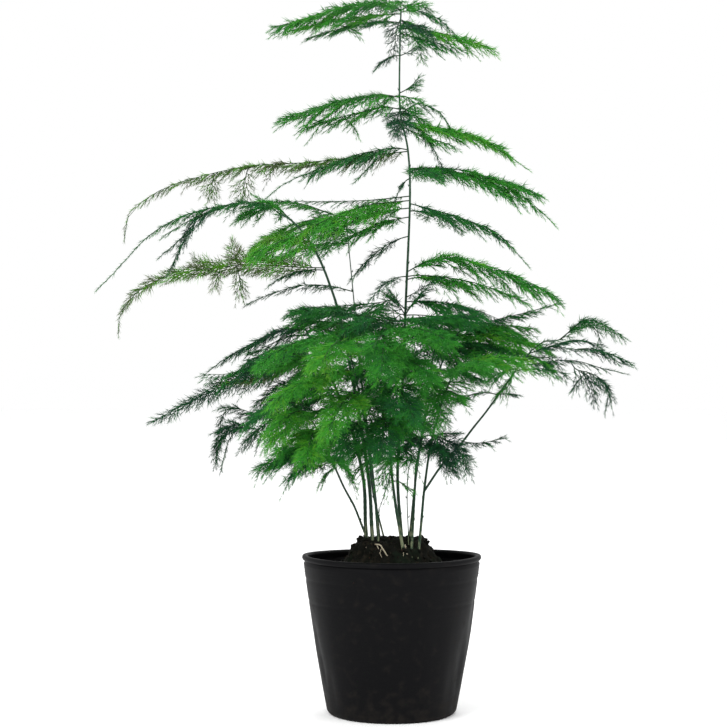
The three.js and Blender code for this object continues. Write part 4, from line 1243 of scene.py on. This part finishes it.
class Rib:
    """The line of a frond's rib, read by the share of its length."""

    def __init__(self, root, frond):
        t = np.linspace(0, 1, RIB_SAMPLES)
        flat = np.array([frond.x - root[0], frond.y - root[1], 0])
        drop = root[2] + frond.rise - frond.z
        lift = frond.rise * t - drop * t**frond.bend
        self.points = root + np.outer(t, flat) + np.outer(lift, UP)
        if frond.via:
            self.points = curve_through([root, *frond.via, (frond.x, frond.y, frond.z)], RIB_SAMPLES)
        steps = np.linalg.norm(np.diff(self.points, axis=0), axis=1)
        self.length = steps.sum()
        self.shares = np.append(0, np.cumsum(steps)) / self.length
        self.level = np.cross(UP, flat) / np.linalg.norm(flat)
        self.roll = math.radians(frond.roll)

    def place(self, share):
        return read_line(self.points, self.shares, share)

    def frame(self, share):
        """The place at a share of the rib, and its directions along, across and out of the flat side."""
        along = self.place(min(share + 0.02, 1)) - self.place(max(share - 0.02, 0))
        along /= np.linalg.norm(along)
        steep = np.cross(along, self.level)
        across = self.level * math.cos(self.roll) + steep * math.sin(self.roll)
        return self.place(share), along, across, np.cross(along, across)


def branch_share(s):
    """The length of a side branch at a share of the frond, against the longest one."""
    opening = FIRST_BRANCH + (1 - FIRST_BRANCH) * min(1, s / LONGEST_AT)
    return opening * (1 - (1 - LAST_BRANCH) * s**NARROWING)


def side_branch(place, along, outward, length, angle, weight):
    """The line of one side branch, swept forward and hanging under its own weight."""
    reach = np.linspace(0, 1, SIDE_BRANCH_SAMPLES)
    turns = angle * (1 - SWEEP * reach)
    steps = np.outer(np.cos(turns), along) + np.outer(np.sin(turns), outward)
    steps[1:] = (steps[1:] + steps[:-1]) / 2 * length / (SIDE_BRANCH_SAMPLES - 1)
    steps[0] = 0
    path = place + np.cumsum(steps, axis=0)
    far = reach * length
    path[:, 2] -= weight * (ROOF * far + SAG * far**2 / max(length, NEEDLE_LENGTH))
    return path


def twigs_along(path, normal, length, rng, spacing, angle=TWIG_ANGLE, largest=LARGEST_TWIG):
    """The place, turn, size and share of the branch's length of each twig, left and right by turns."""
    at = np.append(np.arange(0.8, length - 1, spacing), length) / length
    marks = np.linspace(0, 1, len(path))
    places = read_line(path, marks, at)
    forward = read_line(path, marks, at + 0.05) - read_line(path, marks, at - 0.05)
    forward /= np.linalg.norm(forward, axis=1, keepdims=True)
    count = len(at)
    sides = np.where(np.arange(count) % 2, 1.0, -1.0)
    angles = angle * rng.uniform(0.75, 1.25, count) * (1 - 0.3 * at)
    angles[-1] = 0
    rolls = rng.normal(0, TWIG_ROLL, count)
    upward = normal - forward * (forward @ normal)[:, None]
    upward /= np.linalg.norm(upward, axis=1, keepdims=True)
    leftward = np.cross(upward, forward)
    outward = (sides * np.cos(rolls))[:, None] * leftward + np.sin(rolls)[:, None] * upward
    x = np.cos(angles)[:, None] * forward + np.sin(angles)[:, None] * outward
    z = upward - x * np.sum(upward * x, axis=1, keepdims=True)
    z /= np.linalg.norm(z, axis=1, keepdims=True)
    turns = np.stack([x, np.cross(z, x), z], axis=2)
    left_over = length * (1 - at)
    sizes = np.clip((TIP_TWIG + TWIG_GROWTH * left_over) / TWIG_LENGTH, SMALLEST_TWIG, largest)
    return places, turns, sizes * rng.uniform(0.85, 1.15, count), at


class Foliage:
    """All that one piece of foliage is made of, gathered frond by frond."""

    def __init__(self):
        self.ribs = []
        self.rib_radii = []
        self.branches = []
        self.branch_radii = []
        self.twigs = []

    def add(self, root, frond, rng):
        rib = Rib(root, frond)
        shares = np.linspace(0, 1, RIB_RINGS)
        self.ribs.append(rib.place(shares))
        self.rib_radii.append(RIB_RADIUS * (1 - RIB_THINNING * shares))
        bare = min(BARE_LENGTH / rib.length, 0.3)
        leafy = 1 - bare - frond.whip
        count = max(FEWEST_BRANCHES, round(rib.length * leafy / (SIDE_BRANCH_SPACING * frond.loose)))
        for k in range(count):
            s = (k + 0.5) / count
            place, along, across, normal = rib.frame(bare + leafy * s)
            left_over = (1 - bare - leafy * s) * rib.length
            length = LONGER * frond.width * branch_share(s) * rng.uniform(0.8, 1.1)
            length = max(SHORTEST_BRANCH, min(length, left_over + OVERSHOOT))
            angle = FOOT_ANGLE + (TIP_ANGLE - FOOT_ANGLE) * s + rng.normal(0, 0.08)
            weight = frond.hang * (rng.uniform(0.2, 1.4) + LOW_HANG * (rng.random() < HANGING))
            path = side_branch(place, along, across * (1 if k % 2 else -1), length, angle, weight)
            self.branches.append(path)
            taper = np.linspace(1, BRANCH_TAPER, SIDE_BRANCH_SAMPLES)
            self.branch_radii.append(SIDE_BRANCH_RADIUS * taper)
            twigs = twigs_along(path, normal, length, rng, TWIG_SPACING * frond.loose)
            self.add_twigs(twigs, frond.tone + rng.normal(0, 0.035), rng)
        thin = rib.length * max(frond.whip, SHORTEST_WHIP)
        path = rib.place(np.linspace(1 - thin / rib.length, 1, WHIP_SAMPLES))
        twigs = twigs_along(path, rib.frame(1)[3], thin, rng, WHIP_SPACING, WHIP_ANGLE, WHIP_SIZE)
        self.add_twigs(twigs, frond.tone, rng)

    def add_twigs(self, twigs, tone, rng):
        places, turns, sizes, at = twigs
        self.twigs.append((places, turns, sizes, tone + rng.normal(0, 0.05, len(at)) + 0.06 * at))

    def made(self, name, shapes, material, rng):
        """The finished piece, with a map that holds the share along a needle and the green."""
        parts = []
        maps = []
        woody = (
            (self.ribs, self.rib_radii, RIB_RINGS, RIB_SIDES),
            (self.branches, self.branch_radii, SIDE_BRANCH_SAMPLES, SIDE_BRANCH_SIDES),
        )
        for paths, radii, rings, sides in woody:
            parts.append(bars(np.array(paths), np.array(radii), sides))
            order = np.arange(len(parts[-1][0]))
            along = (order // sides) % rings / (rings - 1)
            maps.append(np.stack([along, WOODY_LANE + LANE_WIDTH * (order % sides)], axis=1))
        places, turns, sizes, tones = (np.concatenate(rows) for rows in zip(*self.twigs))
        kinds = rng.integers(0, len(shapes), len(places))
        for kind, shape in enumerate(shapes):
            chosen = kinds == kind
            size = np.repeat(sizes[chosen][:, None], 3, axis=1)
            parts.append(copies(shape, places[chosen], turns[chosen], size))
            spikes = len(shape[0]) // (SPIKE_SIDES + 1)
            lanes = tones[chosen][:, None] + rng.normal(0, 0.03, (chosen.sum(), spikes))
            lanes = np.clip(lanes, 0.1, 0.99 - 2 * LANE_WIDTH)
            base_and_point = np.array([0, LANE_WIDTH, 2 * LANE_WIDTH, LANE_WIDTH])
            lanes = lanes[:, :, None] + base_and_point
            along = np.broadcast_to(np.array([0, 0, 0, 1.0]), lanes.shape)
            maps.append(np.stack([along.ravel(), lanes.ravel()], axis=1))
        corners, triangles = together(parts)
        leafy = piece(name, corners, triangles, material)
        layer = leafy.data.uv_layers.new(name="OFBake", do_init=False)
        spread = np.concatenate(maps)[triangles.ravel()]
        layer.uv.foreach_set("vector", spread.astype(np.float32).ravel())
        return leafy


def needle_green():
    """Green by the map: across it the kind of green, and along it from a needle's foot to its tip."""
    paint = Paint("needle green", {"Roughness": 0.6, "Specular IOR Level": 0.06})
    spread = paint.node("UVMap", {"uv_map": "OFBake"}, {})
    along = paint.node("SeparateXYZ", {}, {0: spread}, output="X")
    lane = paint.node("SeparateXYZ", {}, {0: spread}, output="Y")
    green = paint.node("ValToRGB", {"stops": NEEDLE_COLOURS}, {"Fac": lane})
    pale = paint.node("HueSaturation", {}, {**PALE_TIP, "Color": green})
    colour = paint.mix(paint.fade(along, 0.35, 1.0), green, pale)
    return paint.finish({"Base Color": colour})


def fronds_of(stem):
    """The root and the frond of all that grow on the stem and on its side branch."""
    for frond in stem["fronds"]:
        yield frond.root or point_at_height(stem["line"], frond.height), frond
    if "branch" in stem:
        yield from fronds_of(stem["branch"])


def small_sprays(line, number, rng):
    """The short sprays that fill the bush, one after another round a stem.

    One that would have to rise to stay above the bush's lower edge is left out.
    """
    top = min(BUSH_TOP, line[-1, 2])
    heights = np.arange(BUSH_FOOT + 5 * (number % 3), top, SMALL_SPRAY_STEP)
    for k, height in enumerate(heights):
        root = point_at_height(line, height)
        heading = GOLDEN_ANGLE * k + 1.9 * number
        reach = rng.uniform(*SMALL_SPRAY_REACH)
        x = np.clip(root[0] + reach * math.cos(heading), *BUSH_SIDES)
        y = root[1] + reach * math.sin(heading)
        underside = np.interp(x, *zip(*UNDERSIDE))
        z = max(root[2] - rng.uniform(-4, 16), underside + 10)
        if z > root[2] + 5:
            continue
        tone = rng.choice([DARK, MID, MID, BRIGHT])
        roll = rng.uniform(-40, 40)
        rise = rng.uniform(4, 12)
        loose = SMALL_SPRAY_LOOSENESS
        yield root, Frond(height, x, y, z, rise, SMALL_SPRAY_WIDTH, tone=tone, roll=roll, loose=loose)


shape_rng = np.random.default_rng(5)
twig_shapes = [twig_shape(shape_rng) for _ in range(TWIG_SHAPES)]
green = needle_green()
for number, (name, stem) in enumerate(STEMS.items()):
    for part, low, high in SPLITS.get(name, WHOLE):
        rng = np.random.default_rng(100 * number + low)
        foliage = Foliage()
        for root, frond in [*fronds_of(stem), *small_sprays(stem["line"], number, rng)]:
            if low <= frond.height < high:
                foliage.add(root, frond, rng)
        leafy = foliage.made("foliage_" + name + ("_" + part if part else ""), twig_shapes, green, rng)
        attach(leafy, "root")
        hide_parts("leafy_stem_" + name)

low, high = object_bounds()
{"cad": [list(cad_low), list(cad_high)], "visual": [list(low), list(high)]}
